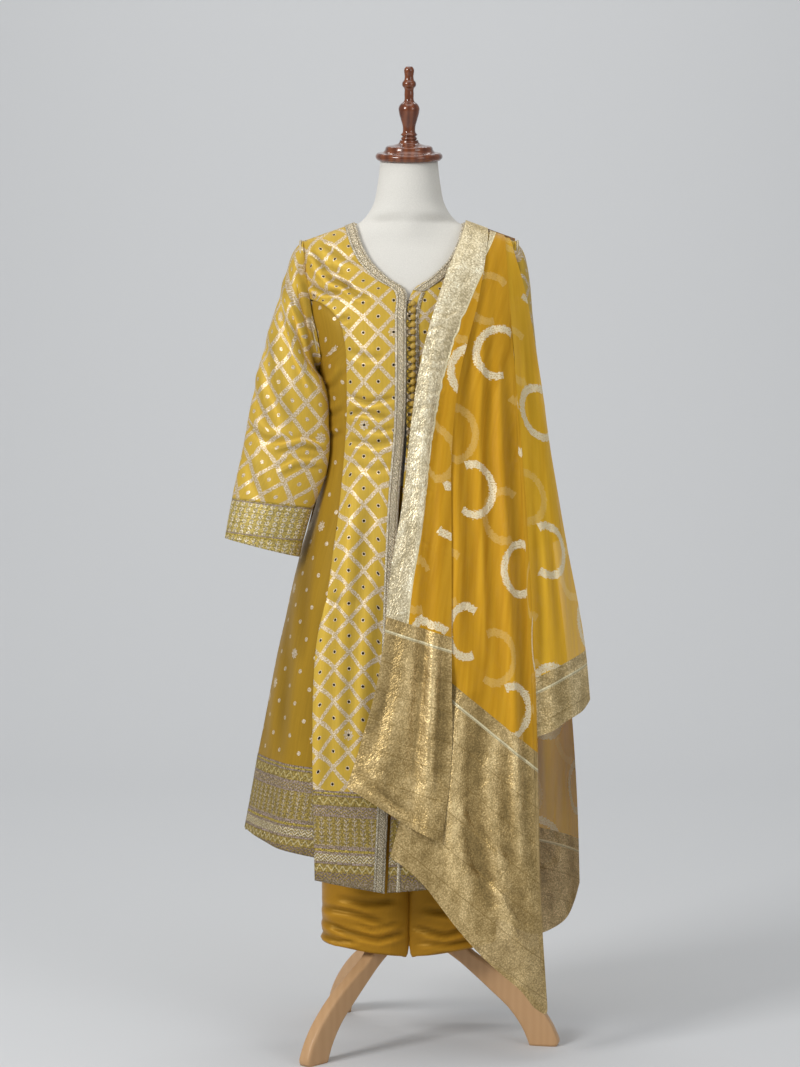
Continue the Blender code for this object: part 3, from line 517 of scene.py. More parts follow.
def armhole_ring(side):
    """Where a sleeve is sewn in, a ring from the shoulder point down and up again."""
    ring = []
    for k in range(SLEEVE_STEPS):
        turn = 2 * math.pi * k / SLEEVE_STEPS
        height = ARMHOLE_MIDDLE + ARMHOLE_HALF * math.cos(turn)
        x = spread(ARMHOLE, height)[0]
        face = -1 if math.sin(turn) > 0 else 1
        depth = bulge(x, body_reach(side, height) + 0.0035, body_depth(face, height))
        if k in (0, SLEEVE_STEPS // 2):
            depth = 0.0
        x += 0.0016 + body_reach(side, height) - body_reach(-1, height)
        ring.append(Vector((side * x, face * depth, height)))
    return ring


def sleeve_rings(side, table):
    """A sleeve as rings, each square to the line from its inner to its outer edge."""
    rings = [armhole_ring(side)]
    for ox, oy, oz, ix, iy, iz, depth in table:
        outer, inner = Vector((side * ox, oy, oz)), Vector((side * ix, iy, iz))
        middle, half = (outer + inner) / 2, (outer - inner) / 2
        forward = Vector((0, -1, 0))
        forward = (forward - half.normalized() * forward.dot(half.normalized())).normalized()
        ring = []
        for k in range(SLEEVE_STEPS):
            turn = 2 * math.pi * k / SLEEVE_STEPS
            ring.append(middle + half * math.cos(turn) + forward * depth * math.sin(turn))
        rings.append(ring)
    return rings


# %% Sizes of the salwar
# Salwar: the belt round the hips, then one tube for each leg
BELT = [
    # height, half width, front, back
    (0.930, 0.1150, 0.0938, 0.0912),
    (0.860, 0.1400, 0.1140, 0.1120),
    (0.780, 0.1550, 0.1225, 0.1195),
    (0.700, 0.1545, 0.1215, 0.1190),
    (0.662, 0.1500, 0.1180, 0.1150),
]
LEG = [
    # height, centre x, centre y, half width, half depth
    (0.6616, 0.0832, 0.000, 0.0662, 0.108),
    (0.5800, 0.0825, -0.006, 0.0665, 0.098),
    (0.5000, 0.0810, -0.014, 0.0670, 0.088),
    (0.4200, 0.0808, -0.022, 0.0670, 0.076),
    (0.3400, 0.0780, -0.030, 0.0688, 0.064),
    (0.2700, 0.0740, -0.036, 0.0712, 0.056),
    (0.2200, 0.0733, -0.038, 0.0716, 0.053),
    (0.1535, 0.0733, -0.039, 0.0718, 0.052),
]
LEG_STEPS = 20
LEG_SQUARE = 0.45  # the inner front corner is nearly square, where the two legs meet
HEM_LIFT = 0.100  # the inner hem rests on the stand


def oval(half, front, back, height, steps, power=2.0, centre=(0.0, 0.0)):
    """A ring of points, from the front round by +X. More power makes it squarer."""
    ring = []
    for k in range(steps):
        turn = 2 * math.pi * k / steps
        s, c = math.sin(turn), math.cos(turn)
        ring.append(Vector((
            centre[0] + math.copysign(abs(s) ** (2 / power), s) * half,
            centre[1] - math.copysign(abs(c) ** (2 / power), c) * (front if c > 0 else back),
            height,
        )))
    return ring


def leg_rings(side):
    """One leg of the salwar. Its hem is higher inside and behind, where it rests on the stand."""
    rings = []
    for z, cx, cy, half, depth in LEG:
        ring = oval(half, depth, depth, z, LEG_STEPS, 2.0, (cx, cy))
        hem = ease(0.34, 0.1535, z)
        for k, p in enumerate(ring):
            degrees = 360 * k / LEG_STEPS
            if degrees > 270:
                s, c = math.sin(math.radians(degrees)), math.cos(math.radians(degrees))
                p.x, p.y = cx - half * abs(s) ** LEG_SQUARE, cy - depth * abs(c) ** LEG_SQUARE
            lift = ease(305, 273, degrees) * ease(150, 205, degrees)
            p.z += hem * (0.155 * abs(p.x) + HEM_LIFT * lift)
            crease = math.cos(math.radians(degrees * 5 + 40)) * 0.0022 * ease(0.20, 0.5, hem)
            p.y -= crease if degrees < 75 or degrees > 310 else 0.0
        rings.append([Vector((side * p.x, p.y, p.z)) for p in ring])
    return rings


# %% Sizes of the dupatta
# How far the dupatta hangs outside the kameez: height, to the side, in front, behind
VEIL_REST = 0.0026  # how high it lies on the shoulder
VEIL = [
    # height, side, front, back
    (1.372, 0.002, 0.004, 0.004),
    (1.335, 0.005, 0.006, 0.006),
    (1.300, 0.020, 0.009, 0.009),
    (1.250, 0.030, 0.009, 0.010),
    (1.180, 0.050, 0.009, 0.009),
    (1.120, 0.078, 0.008, 0.009),
    (1.050, 0.099, 0.010, 0.012),
    (0.980, 0.112, 0.012, 0.013),
    (0.890, 0.118, 0.011, 0.012),
    (0.790, 0.117, 0.011, 0.011),
    (0.690, 0.117, 0.011, 0.011),
    (0.590, 0.115, 0.012, 0.011),
    (0.450, 0.102, 0.013, 0.012),
    (0.350, 0.094, 0.013, 0.013),
    (0.250, 0.088, 0.013, 0.013),
    (0.060, 0.088, 0.015, 0.015),
]

# Fold lines of each fall, from its first edge to its last. Each line has its x at nine even
# steps from the shoulder to the hem, the height of its lower end, and how far it stands out in mm.
FRONT_FALL = [
    # x at nine steps, bottom, out at nine steps
    ((0.094, 0.053, 0.020, 0.002, -0.010, -0.030, -0.041, -0.063, -0.100), 0.450,
     (3, 9, 10, 11, 12, 12, 12, 14, 16)),
    ((0.103, 0.068, 0.036, 0.020, 0.010, -0.006, -0.014, -0.026, -0.047), 0.418,
     (3, 10, 12, 13, 13, 14, 15, 19, 24)),
    ((0.112, 0.083, 0.051, 0.035, 0.028, 0.020, 0.014, 0.008, -0.002), 0.388,
     (3, 9, 10, 11, 11, 12, 11, 12, 14)),
    ((0.121, 0.097, 0.066, 0.052, 0.048, 0.045, 0.043, 0.040, 0.030), 0.372,
     (3, 10, 12, 14, 15, 15, 17, 20, 24)),
    ((0.131, 0.112, 0.081, 0.068, 0.068, 0.068, 0.068, 0.067, 0.052), 0.360,
     (3, 9, 10, 10, 10, 10, 10, 11, 13)),
]
MIDDLE_FALL = [
    ((0.134, 0.098, 0.060, 0.048, 0.046, 0.042, 0.030, 0.006, -0.031), 0.338,
     (1, 3, 3, 3, 3, 3, 3, 3, 3)),
    ((0.139, 0.113, 0.082, 0.070, 0.068, 0.064, 0.058, 0.044, 0.020), 0.296,
     (1, 3, 3, 3, 4, 4, 4, 4, 5)),
    ((0.143, 0.126, 0.104, 0.097, 0.098, 0.098, 0.096, 0.088, 0.074), 0.226,
     (1, 4, 6, 7, 8, 9, 10, 9, 8)),
    ((0.148, 0.138, 0.126, 0.124, 0.127, 0.130, 0.132, 0.130, 0.122), 0.172,
     (1, 3, 4, 4, 5, 5, 6, 8, 12)),
    ((0.152, 0.149, 0.148, 0.152, 0.157, 0.162, 0.166, 0.172, 0.178), 0.122,
     (1, 4, 6, 8, 10, 11, 14, 18, 22)),
    ((0.156, 0.160, 0.170, 0.180, 0.187, 0.193, 0.199, 0.208, 0.221), 0.077,
     (1, 4, 6, 7, 8, 9, 9, 10, 12)),
    ((0.158, 0.166, 0.177, 0.188, 0.196, 0.203, 0.207, 0.210, 0.209), 0.200,
     (1, 3, 4, 4, 4, 4, 3, 2, 2)),
]
SIDE_FALL = [
    ((0.161, 0.172, 0.180, 0.186, 0.190, 0.192, 0.194, 0.196, 0.198), 0.522,
     (1, 1, -1, -2, -3, -4, -4, -4, -4)),
    ((0.166, 0.180, 0.190, 0.199, 0.208, 0.218, 0.224, 0.228, 0.232), 0.532,
     (1, 1, 1, 1, 1, 2, 3, 4, 5)),
    ((0.171, 0.187, 0.199, 0.210, 0.221, 0.232, 0.244, 0.252, 0.256), 0.546,
     (1, 1, 1, 0, 0, 0, 0, 0, 0)),
    ((0.175, 0.192, 0.205, 0.218, 0.232, 0.246, 0.262, 0.276, 0.284), 0.560,
     (1, 1, 1, 1, 1, 1, 2, 3, 4)),
    ((0.1775, 0.1955, 0.2095, 0.2235, 0.2395, 0.2555, 0.2725, 0.2900, 0.3000), 0.576,
     (1, 1, 1, 1, 1, 1, 1, 1, 1)),
]
BACK_FALL = [
    ((0.096, 0.090, 0.082, 0.074, 0.066, 0.060, 0.054, 0.050, 0.046), 0.196,
     (2, 3, 4, 4, 5, 5, 6, 6, 6)),
    ((0.112, 0.110, 0.106, 0.102, 0.098, 0.094, 0.090, 0.086, 0.084), 0.186,
     (2, 4, 8, 10, 12, 13, 14, 15, 16)),
    ((0.128, 0.130, 0.130, 0.130, 0.130, 0.130, 0.128, 0.126, 0.126), 0.172,
     (2, 3, 4, 4, 4, 4, 4, 5, 5)),
    ((0.144, 0.150, 0.156, 0.160, 0.164, 0.167, 0.169, 0.170, 0.170), 0.160,
     (2, 4, 7, 9, 11, 13, 14, 16, 18)),
    ((0.158, 0.170, 0.182, 0.192, 0.201, 0.209, 0.215, 0.218, 0.220), 0.146,
     (2, 3, 3, 3, 3, 3, 3, 4, 4)),
    ((0.170, 0.188, 0.205, 0.220, 0.236, 0.250, 0.262, 0.270, 0.272), 0.182,
     (2, 3, 4, 5, 6, 7, 8, 8, 8)),
    ((0.1765, 0.196, 0.213, 0.231, 0.250, 0.268, 0.280, 0.288, 0.292), 0.250,
     (2, 2, 2, 2, 2, 2, 2, 2, 2)),
]


def veil_depth(face, x, height):
    """How deep the dupatta lies at x, over the kameez and the sleeve under it."""
    side, front, back = spread(VEIL, height)
    under = height - VEIL_REST * ease(1.24, 1.32, height)
    reach = body_reach(1, under) + side
    depth = body_depth(face, under) + (front if face < 0 else back)
    return bulge(x, reach, depth, 2.3)


def shoulder_line(x):
    return NECK_Z - (x - NECK_X) * (NECK_Z - SHOULDER_Z) / (SHOULDER_X - NECK_X)


def fall_grid(lines, face, rows, columns):
    """A fall between its fold lines, with shorter rows near the shoulder where it bends most."""
    grid = []
    for i in range(rows + 1):
        t = (i / rows) ** 1.55
        row = []
        for j in range(columns + 1):
            s = j / columns
            x = along([along(line[0], t) for line in lines], s)
            top = shoulder_line(along([line[0][0] for line in lines], s)) + VEIL_REST
            top += along([line[2][0] for line in lines], s) * 0.001
            z = top + (along([line[1] for line in lines], s) - top) * t
            out = along([along(line[2], t) for line in lines], s) * 0.001
            depth = veil_depth(face, x, z) + out if i else VEIL_SEAM
            row.append(Vector((x, face * depth, z)))
        grid.append(row)
    return grid


# %% Sizes of the form and the stand
# Dress form: height, half width, depth front and back
FORM = [
    # height, half width, front, back
    (1.469, 0.0474, 0.0474, 0.0474),
    (1.430, 0.0520, 0.0505, 0.0520),
    (1.395, 0.0600, 0.0520, 0.0540),
    (1.378, 0.0700, 0.0530, 0.0500),
    (1.100, 0.1380, 0.1180, 0.0910),
    (1.050, 0.1230, 0.1060, 0.0830),
    (1.000, 0.1110, 0.0930, 0.0800),
    (0.950, 0.1090, 0.0890, 0.0860),
    (0.900, 0.1200, 0.0970, 0.0950),
    (0.840, 0.1360, 0.1080, 0.1060),
    (0.780, 0.1470, 0.1150, 0.1120),
    (0.720, 0.1470, 0.1150, 0.1120),
    (0.680, 0.1410, 0.1110, 0.1080),
    (0.664, 0.1290, 0.1010, 0.0990),
]
FORM_STEPS = 24
FORM_CLEAR = 0.0031  # from the outside of the kameez down to the form where it rests on it
FORM_SHOULDER_Z = [
    1.3640, 1.3580, 1.3520, 1.3460, 1.3400, 1.3345, 1.3240, 1.3060, 1.2800, 1.2500, 1.2000, 1.1500,
]

# Neck cap and finial: height above the cap's underside and radius
CAP_TILT = math.radians(11.0)
CAP_Z = 1.4695
CAP_PROFILE = [
    (0.0000, 0.0520), (0.0030, 0.0550), (0.0080, 0.0556), (0.0115, 0.0530), (0.0130, 0.0440),
    (0.0170, 0.0400), (0.0215, 0.0385), (0.0250, 0.0260), (0.0290, 0.0165), (0.0330, 0.0150),
]
FINIAL_PROFILE = [
    (0.0000, 0.0120), (0.0030, 0.0135), (0.0065, 0.0110), (0.0085, 0.0140), (0.0125, 0.0110),
    (0.0200, 0.0104), (0.0330, 0.0135), (0.0440, 0.0165), (0.0530, 0.0172), (0.0590, 0.0140),
    (0.0630, 0.0090), (0.0750, 0.0078), (0.0850, 0.0084), (0.0880, 0.0110), (0.0940, 0.0112),
    (0.0985, 0.0080), (0.1020, 0.0074), (0.1170, 0.0074), (0.1200, 0.0050),
]

# Stand
POST_RADIUS = 0.0125
POST_BOTTOM = 0.2264
HUB_RADIUS = 0.0270
HUB_BOTTOM, HUB_TOP = 0.1600, 0.2260
LEG_HALF_WIDTH = 0.0120
LEG_HEADINGS = {"front": -42.0, "left": 78.0, "back": 212.0}  # degrees from the front
STAND_LEG = [
    # along the top from the hub to the toe, then along the underside back to the hub
    (0.0274, 0.2220), (0.0560, 0.2020), (0.0840, 0.1760), (0.1080, 0.1520), (0.1440, 0.1290),
    (0.1780, 0.1060), (0.2100, 0.0780), (0.2350, 0.0490), (0.2500, 0.0220), (0.2550, 0.0050),
    (0.2520, 0.0000), (0.2060, 0.0000), (0.1960, 0.0240), (0.1740, 0.0570), (0.1390, 0.0900),
    (0.1120, 0.1140), (0.0880, 0.1340), (0.0580, 0.1530), (0.0274, 0.1640),
]

# %% [markdown]
# ## From a draft to woven cloth
#
# A coarse grid is drawn fine along smooth curves, down its columns and then across its rows, as
# cloth lies in curves between the places that hold it. Creases are then pressed in: each one is
# a line as seen from the front with a width and a depth, a soft trough with lower ridges beside
# it. Last, every point gets its place on the flat cloth in metres, measured along the surface, so
# that woven patterns keep their real size.

# %% Fine grids
def smooth(points, knots, places):
    """Values at places along a smooth curve through the points, which stand at the knots."""
    slopes = np.gradient(points, knots, axis=0)
    at = np.clip(np.searchsorted(knots, places, side="right") - 1, 0, len(knots) - 2)
    step = knots[at + 1] - knots[at]
    t = (places - knots[at]) / step
    shape = (-1,) + (1,) * (points.ndim - 1)
    t, step = t.reshape(shape), step.reshape(shape)
    return (
        (2 * t**3 - 3 * t**2 + 1) * points[at]
        + (t**3 - 2 * t**2 + t) * step * slopes[at]
        + (3 * t**2 - 2 * t**3) * points[at + 1]
        + (t**3 - t**2) * step * slopes[at + 1]
    )


def lengths(points):
    """Distance travelled along the first axis, the mean over the other one, from 0."""
    steps = np.linalg.norm(np.diff(points, axis=0), axis=-1).mean(axis=1)
    return np.concatenate([[0.0], np.cumsum(steps)])


def fine(grid, down, across, closed=False):
    """A fine grid over the coarse one. A closed one is a tube whose rows run all round."""
    points = np.array([[list(p) for p in row] for row in grid])
    if closed:
        points = np.concatenate([points[:, -3:], points, points[:, :4]], axis=1)
    knots = lengths(points)
    columns = smooth(points, knots, np.linspace(0.0, knots[-1], down + 1)).transpose(1, 0, 2)
    knots = lengths(columns)
    first, last = (knots[3], knots[-4]) if closed else (0.0, knots[-1])
    return smooth(columns, knots, np.linspace(first, last, across + 1)).transpose(1, 0, 2)


def normals_of(points, closed=False):
    """Unit normals of a fine grid, pointing out of the garment."""
    down = np.gradient(points, axis=0)
    if closed:
        across = np.roll(points[:, :-1], -1, axis=1) - np.roll(points[:, :-1], 1, axis=1)
        across = np.concatenate([across, across[:, :1]], axis=1)
    else:
        across = np.gradient(points, axis=1)
    found = np.cross(down, across)
    return found / np.maximum(np.linalg.norm(found, axis=-1, keepdims=True), 1e-12)


def cloth_uv(points, zero_row=0):
    """Metres along each row from its first column, and down each column from one row."""
    u = np.linalg.norm(np.diff(points, axis=1), axis=-1)
    u = np.concatenate([np.zeros((len(points), 1)), np.cumsum(u, axis=1)], axis=1)
    v = np.linalg.norm(np.diff(points, axis=0), axis=-1)
    v = np.concatenate([np.zeros((1, points.shape[1])), np.cumsum(v, axis=0)], axis=0)
    return np.stack([u, v - v[zero_row : zero_row + 1]], axis=-1)


# %% Creases
def crease_field(across, up, lines):
    """Sum of all creases at each point. A line is (points, half width, depth in mm, ridge)."""
    total = np.zeros_like(across)
    for line, width, depth, ridge in lines:
        line = np.array(line, float)
        near = np.full_like(across, 1e9)
        side = np.zeros_like(across)
        fade = np.zeros_like(across)
        walked = 0.0
        whole = np.linalg.norm(np.diff(line, axis=0), axis=1).sum()
        for a, b in zip(line, line[1:]):
            way = b - a
            size = np.linalg.norm(way)
            t = ((across - a[0]) * way[0] + (up - a[1]) * way[1]) / size**2
            t = np.clip(t, 0.0, 1.0)
            away_x, away_z = across - a[0] - t * way[0], up - a[1] - t * way[1]
            gap = np.hypot(away_x, away_z)
            closer = gap < near
            near = np.where(closer, gap, near)
            side = np.where(closer, np.sign(away_x * way[1] - away_z * way[0]), side)
            fade = np.where(closer, (walked + t * size) / whole, fade)
            walked += size
        ends = np.clip(4 * fade * (1 - fade) * 1.6, 0.0, 1.0) ** 0.7
        trough = -np.exp(-((near / width) ** 2))
        ridges = np.exp(-(((near - 1.9 * width) / (0.9 * width)) ** 2))
        total += 0.001 * depth * ends * (trough + ridge * ridges * (0.65 + 0.35 * side))
    return total


def fold_uv(points, lines):
    """How far a place is pressed in or out, in metres, as the first number of a UV map."""
    out = crease_field(points[..., 0], points[..., 2], lines)
    return np.stack([out, out * 0.0], axis=-1)


def cloth_mesh(name, points, uvs, closed=False):
    """A mesh from a fine grid, with its flat places in metres as UV maps."""
    down, across = points.shape[0] - 1, points.shape[1] - 1
    bm = bmesh.new()
    bmesh.ops.create_grid(bm, x_segments=across, y_segments=down, size=1.0)
    order = sorted(bm.verts, key=lambda v: (-round(v.co.y, 6), round(v.co.x, 6)))
    index_of = {v: i for i, v in enumerate(order)}
    layers = {key: bm.loops.layers.uv.new(key) for key in uvs}
    flat = {key: value.reshape(-1, 2) for key, value in uvs.items()}
    for face in bm.faces:
        for loop in face.loops:
            place = index_of[loop.vert]
            for key, layer in layers.items():
                loop[layer].uv = flat[key][place]
    places = points.reshape(-1, 3)
    for vert, i in index_of.items():
        vert.co = places[i]
    if closed:
        bmesh.ops.remove_doubles(bm, verts=bm.verts, dist=1e-6)
    for face in bm.faces:
        face.smooth = True
    mesh = bpy.data.meshes.new(name)
    bm.to_mesh(mesh)
    bm.free()
    return mesh


def cloth(name, points, uvs, material, wall=WALL, closed=False):
    """A finished cloth piece in place of the CAD node of the same name."""
    points = points + np.array([0.0, AXIS_Y, 0.0])
    piece = bpy.data.objects.new(name + "_cloth", cloth_mesh(name, points, uvs, closed))
    piece.data.materials.append(material)
    bpy.context.scene.collection.objects.link(piece)
    if wall:
        thick = piece.modifiers.new("Wall", "SOLIDIFY")
        thick.thickness = wall
        thick.offset = -1.0
    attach(piece, "root")
    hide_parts(name)
    return piece


def finished(name, bm, material, nodes):
    """An object from a finished bmesh, in place of CAD nodes if any are named."""
    bmesh.ops.recalc_face_normals(bm, faces=bm.faces)
    for face in bm.faces:
        face.smooth = True
    mesh = bpy.data.meshes.new(name)
    bm.to_mesh(mesh)
    bm.free()
    mesh.materials.append(material)
    piece = bpy.data.objects.new(name + "_made", mesh)
    bpy.context.scene.collection.objects.link(piece)
    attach(piece, "root")
    if nodes:
        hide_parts(*nodes)
    return piece


# %% [markdown]
# ## Silk brocade
#
# The kameez is woven in mustard silk with a lattice of pale metal thread (zari). The lattice is
# drawn with two slanted coordinates, a and b: where either is halfway between whole numbers a
# line runs, and where both are whole stands the middle of a diamond, with a small mirror sewn
# on it. The diamonds are 50 mm wide and 53 mm tall, as on the real cloth.

# %% The brocade
LATTICE_WIDE, LATTICE_TALL = 0.0505, 0.0535
LINE_HALF = 0.098  # half a line's width in shares of a diamond, 3.6 mm
MIRROR, MIRROR_RIM, SPRIG = 0.0022, 0.0034, 0.0036  # radii of the round pieces
FLOWER, PETAL = 0.0082, 0.0012  # a sequin flower's radius, and how far its petals stand out
FLOWER_SHARE = 0.11  # one diamond in nine has a flower
THREAD = 0.0024  # the zari's glints; real threads are 0.3 mm, which wouldn't show


def brocade(name, ground, deep, line_half=LINE_HALF, lattice=True, mirrors=True):
    """Silk with metal thread in it: a lattice, or a round sprig (buti) in each diamond."""
    material, tree, shader = new_material(name, 0.42, tint="#F2D77A")
    u, v, place = flat_place(tree, "Weave")
    wide = node(tree, "Math:DIVIDE", u, LATTICE_WIDE)
    tall = node(tree, "Math:DIVIDE", v, LATTICE_TALL)
    a, b = node(tree, PLUS, wide, tall), node(tree, MINUS, wide, tall)
    # distance from the nearest whole number, 0 in the middle of a diamond and 0.5 on a line
    from_a, from_b = node(tree, "Math:PINGPONG", a, 0.5), node(tree, "Math:PINGPONG", b, 0.5)
    nearest = node(tree, "Math:MAXIMUM", from_a, from_b)
    line = node(
        tree, "MapRange", nearest, 0.5 - line_half, 0.5 - line_half * 0.75, 0.0, 1.0,
        interpolation_type="SMOOTHSTEP",
    )
    # which diamond this is, and how far its middle is
    a_whole, b_whole = node(tree, "Math:ROUND", a), node(tree, "Math:ROUND", b)
    cell = node(tree, "CombineXYZ", a_whole, b_whole, 0.37)
    chance = node(tree, "TexWhiteNoise", cell, noise_dimensions="3D")
    left_a, left_b = node(tree, MINUS, a, a_whole), node(tree, MINUS, b, b_whole)
    x = node(tree, TIMES, node(tree, PLUS, left_a, left_b), LATTICE_WIDE / 2)
    y = node(tree, TIMES, node(tree, MINUS, left_a, left_b), LATTICE_TALL / 2)
    spot = node(tree, "CombineXYZ", x, y, 0.0)
    far = node(tree, "VectorMath:LENGTH", spot, gives=1)
    # the threads of the zari catch the light one by one
    glint = thread_noise(tree, place, THREAD, THREAD, 2.0)
    broken = node(tree, "MapRange", glint, 0.32, 0.52, 0.40, 1.0)
    flower_cell = node(tree, "Math:LESS_THAN", chance, FLOWER_SHARE)
    heading = node(tree, "Math:ARCTAN2", y, x)
    petals = node(tree, "Math:COSINE", node(tree, TIMES, heading, 8.0))
    rim = node(tree, PLUS, FLOWER, node(tree, TIMES, petals, PETAL))
    flower = node(tree, TIMES, node(tree, "Math:LESS_THAN", far, rim), flower_cell)
    thread = node(tree, "Math:MAXIMUM", line, flower) if lattice else flower
    thread = node(tree, TIMES, thread, broken)
    spot_on = node(tree, "Math:LESS_THAN", far, MIRROR_RIM if lattice else SPRIG)
    thread = node(tree, "Math:MAXIMUM", thread, spot_on)
    # the silk: slubs and broad bands, partly its own tone and partly painted sheen and fold shade
    slub = thread_noise(tree, place, 0.10, 0.0035, 3.0)
    broad = thread_noise(tree, place, 0.22, 0.07, 2.0)
    toned = node(tree, "Mix", into={0: broad, 6: deep, 7: ground}, **BLEND)
    light = node(tree, "MapRange", slub, 0.3, 0.7, 0.93, 1.05)
    silk = node(tree, "HueSaturation", into={"Value": light, "Color": toned})
    shade = node(tree, "MapRange", glint, 0.38, 0.66, 0.0, 1.0)
    zari = node(tree, "Mix", into={0: shade, 6: "#B09A78", 7: "#EADBC4"}, **BLEND)
    cloth_colour = node(tree, "Mix", into={0: thread, 6: silk, 7: zari}, **BLEND)
    if lattice and mirrors:
        # a mirror shows the dark room in front of it
        mirror = node(tree, "Math:LESS_THAN", far, MIRROR)
        cloth_colour = node(tree, "Mix", into={0: mirror, 6: cloth_colour, 7: "#20160C"}, **BLEND)
    # painted shade in the creases and painted highlight on their ridges
    shown = node(tree, "HueSaturation",
                 into={"Value": fold_light(tree, 0.66, 1.34), "Color": cloth_colour})
    tree.links.new(shown, shader.inputs["Base Color"])
    metal = node(tree, TIMES, thread, 0.30)
    tree.links.new(metal, shader.inputs["Metallic"])
    height = node(tree, PLUS, node(tree, TIMES, thread, 0.6), node(tree, TIMES, slub, 0.5))
    raised = node(tree, "Bump", into={"Strength": 0.35, "Distance": 0.0006, "Height": height})
    tree.links.new(raised, shader.inputs["Normal"])
    return material


# %% [markdown]
# ## Embroidered borders
#
# The hem, cuffs and neck carry antique gold embroidery in rows that follow the edge. Each row is
# a stretch of the distance from the border's top: stripes are constant, the others repeat along
# the border as chevrons, scrolls, columns of leaves or rows of flowers. Real stitches are under a
# millimetre apart; their glints are drawn at 2.4 mm so that they don't vanish.

# %% Border rows
LILAC, PALE, OLIVE = "#9C8A86", "#DDD0B8", "#B7A04A"  # aged metal thread, new thread, silk
HEM_ROWS = [
    # to mm from the top edge, kind, repeat in mm, colour of the threads
    (3, "plain", 2.0, LILAC),
    (6, "plain", 2.0, OLIVE),
    (9, "plain", 2.0, LILAC),
    (24, "scroll", 15.0, "#C4B178"),
    (28, "plain", 2.0, LILAC),
    (38, "chevron", 12.0, "#A69488"),
    (42, "plain", 2.0, LILAC),
    (88, "column", 14.0, "#B5A48C"),
    (94, "plain", 2.0, LILAC),
    (98, "plain", 2.0, OLIVE),
    (102, "plain", 2.0, LILAC),
    (114, "chevron", 12.0, "#CFC2A8"),
    (118, "plain", 2.0, LILAC),
    (131, "scroll", 13.0, "#C9B88A"),
    (143, "chevron", 13.0, "#8A776F"),
    (200, "plain", 2.0, "#8E7E70"),
]
CUFF_ROWS = [
    (2.5, "plain", 2.0, LILAC),
    (4.5, "plain", 2.0, OLIVE),
    (7, "plain", 2.0, LILAC),
    (58, "flowers", 13.0, PALE),
    (60.5, "plain", 2.0, LILAC),
    (64, "plain", 2.0, OLIVE),
    (90, "column", 13.0, PALE),
]
BRAID_ROWS = [
    (3.2, "chevron", 6.0, "#F0E8D6"),
    (4.6, "plain", 2.0, "#93836B"),
    (13.2, "chevron", 9.0, "#E8DCC4"),
    (14.6, "plain", 2.0, "#93836B"),
    (30, "chevron", 6.0, "#F0E8D6"),
]
ENDLESS = 9.0  # metres, past the end of every border


def border(name, ground, rows, darker_from=ENDLESS):
    """Embroidery over a ground cloth, row by row. Rows holds U along the border and V across it."""
    material, tree, shader = new_material(name, 0.46, metallic=0.25, tint="#F4E2B0")
    u, v, place = flat_place(tree, "Rows")
    glint = thread_noise(tree, place, THREAD, THREAD, 2.0)
    dots = node(tree, "TexVoronoi", place, into={"Scale": 260.0})
    colour = threads = None
    reached = 0.0
    for stop, kind, repeat, hue in rows:
        size = repeat * 0.001
        aside = node(tree, "Math:PINGPONG", u, size / 2)  # 0 to half a repeat and back
        if kind == "plain":
            # couched thread, laid close
            mask = node(tree, "MapRange", glint, 0.38, 0.56, 0.1, 1.0)
        elif kind == "column":
            # a stem with pairs of slanted leaves
            stem = node(tree, "Math:LESS_THAN", aside, size * 0.06)
            slant = node(tree, "Math:PINGPONG", node(tree, PLUS, v, aside), size * 0.25)
            leaf = node(tree, "Math:LESS_THAN", slant, size * 0.10)
            near = node(tree, "Math:LESS_THAN", aside, size * 0.32)
            mask = node(tree, "Math:MAXIMUM", stem, node(tree, TIMES, leaf, near))
            mask = node(tree, TIMES, mask, node(tree, "MapRange", glint, 0.36, 0.50, 0.2, 1.0))
        elif kind == "flowers":
            # rows of round flowers, each with a small mirror in it
            rise = node(tree, "Math:PINGPONG", v, size * 0.36)
            far = node(tree, "VectorMath:LENGTH", node(tree, "CombineXYZ", aside, rise, 0.0), gives=1)
            flower = node(tree, "Math:LESS_THAN", far, size * 0.30)
            mirror = node(tree, "Math:LESS_THAN", far, size * 0.10)
            mask = node(tree, TIMES, flower, node(tree, "MapRange", glint, 0.36, 0.52, 0.2, 1.0))
            mask = node(tree, TIMES, mask, node(tree, MINUS, 1.0, mirror))
        elif kind == "scroll":
            # one wavy line along the row
            wave = node(tree, "Math:SINE", node(tree, TIMES, u, 6.283 / size))
            middle = (reached + stop) * 0.0005
            bent = node(tree, PLUS, middle, node(tree, TIMES, wave, (stop - reached) * 0.00028))
            bent = node(tree, MINUS, v, bent)
            mask = node(tree, "Math:LESS_THAN", node(tree, "Math:ABSOLUTE", bent), size * 0.13)
        else:
            # chevrons: slanted stitches that turn at every half repeat
            saw = node(tree, "Math:PINGPONG", node(tree, PLUS, v, aside), size * 0.22)
            mask = node(tree, "Math:GREATER_THAN", saw, size * 0.10)
        one = node(tree, "Mix", into={0: mask, 6: ground, 7: hue}, **BLEND, clamp_factor=True)
        if colour is None:
            colour, threads = one, mask
        else:
            here = node(tree, "Math:GREATER_THAN", v, reached * 0.001)
            colour = node(tree, "Mix", into={0: here, 6: colour, 7: one}, **BLEND)
            threads = node(tree, "Mix", into={0: here, 2: threads, 3: mask})
        reached = stop
    light = node(tree, "MapRange", glint, 0.34, 0.66, 0.52, 1.40)
    light = node(tree, TIMES, light, node(tree, "MapRange", dots, 0.0, 0.7, 1.25, 0.72))
    # worked in the border's darker threads from here on
    light = node(tree, TIMES, light,
                 node(tree, "MapRange", u, darker_from, darker_from + 0.002, 1.0, 0.66))
    shown = node(tree, "HueSaturation", into={"Value": light, "Color": colour})
    tree.links.new(shown, shader.inputs["Base Color"])
    height = node(tree, PLUS, node(tree, TIMES, threads, 0.7), glint)
    raised = node(tree, "Bump", into={"Strength": 0.6, "Distance": 0.0010, "Height": height})
    tree.links.new(raised, shader.inputs["Normal"])
    return material
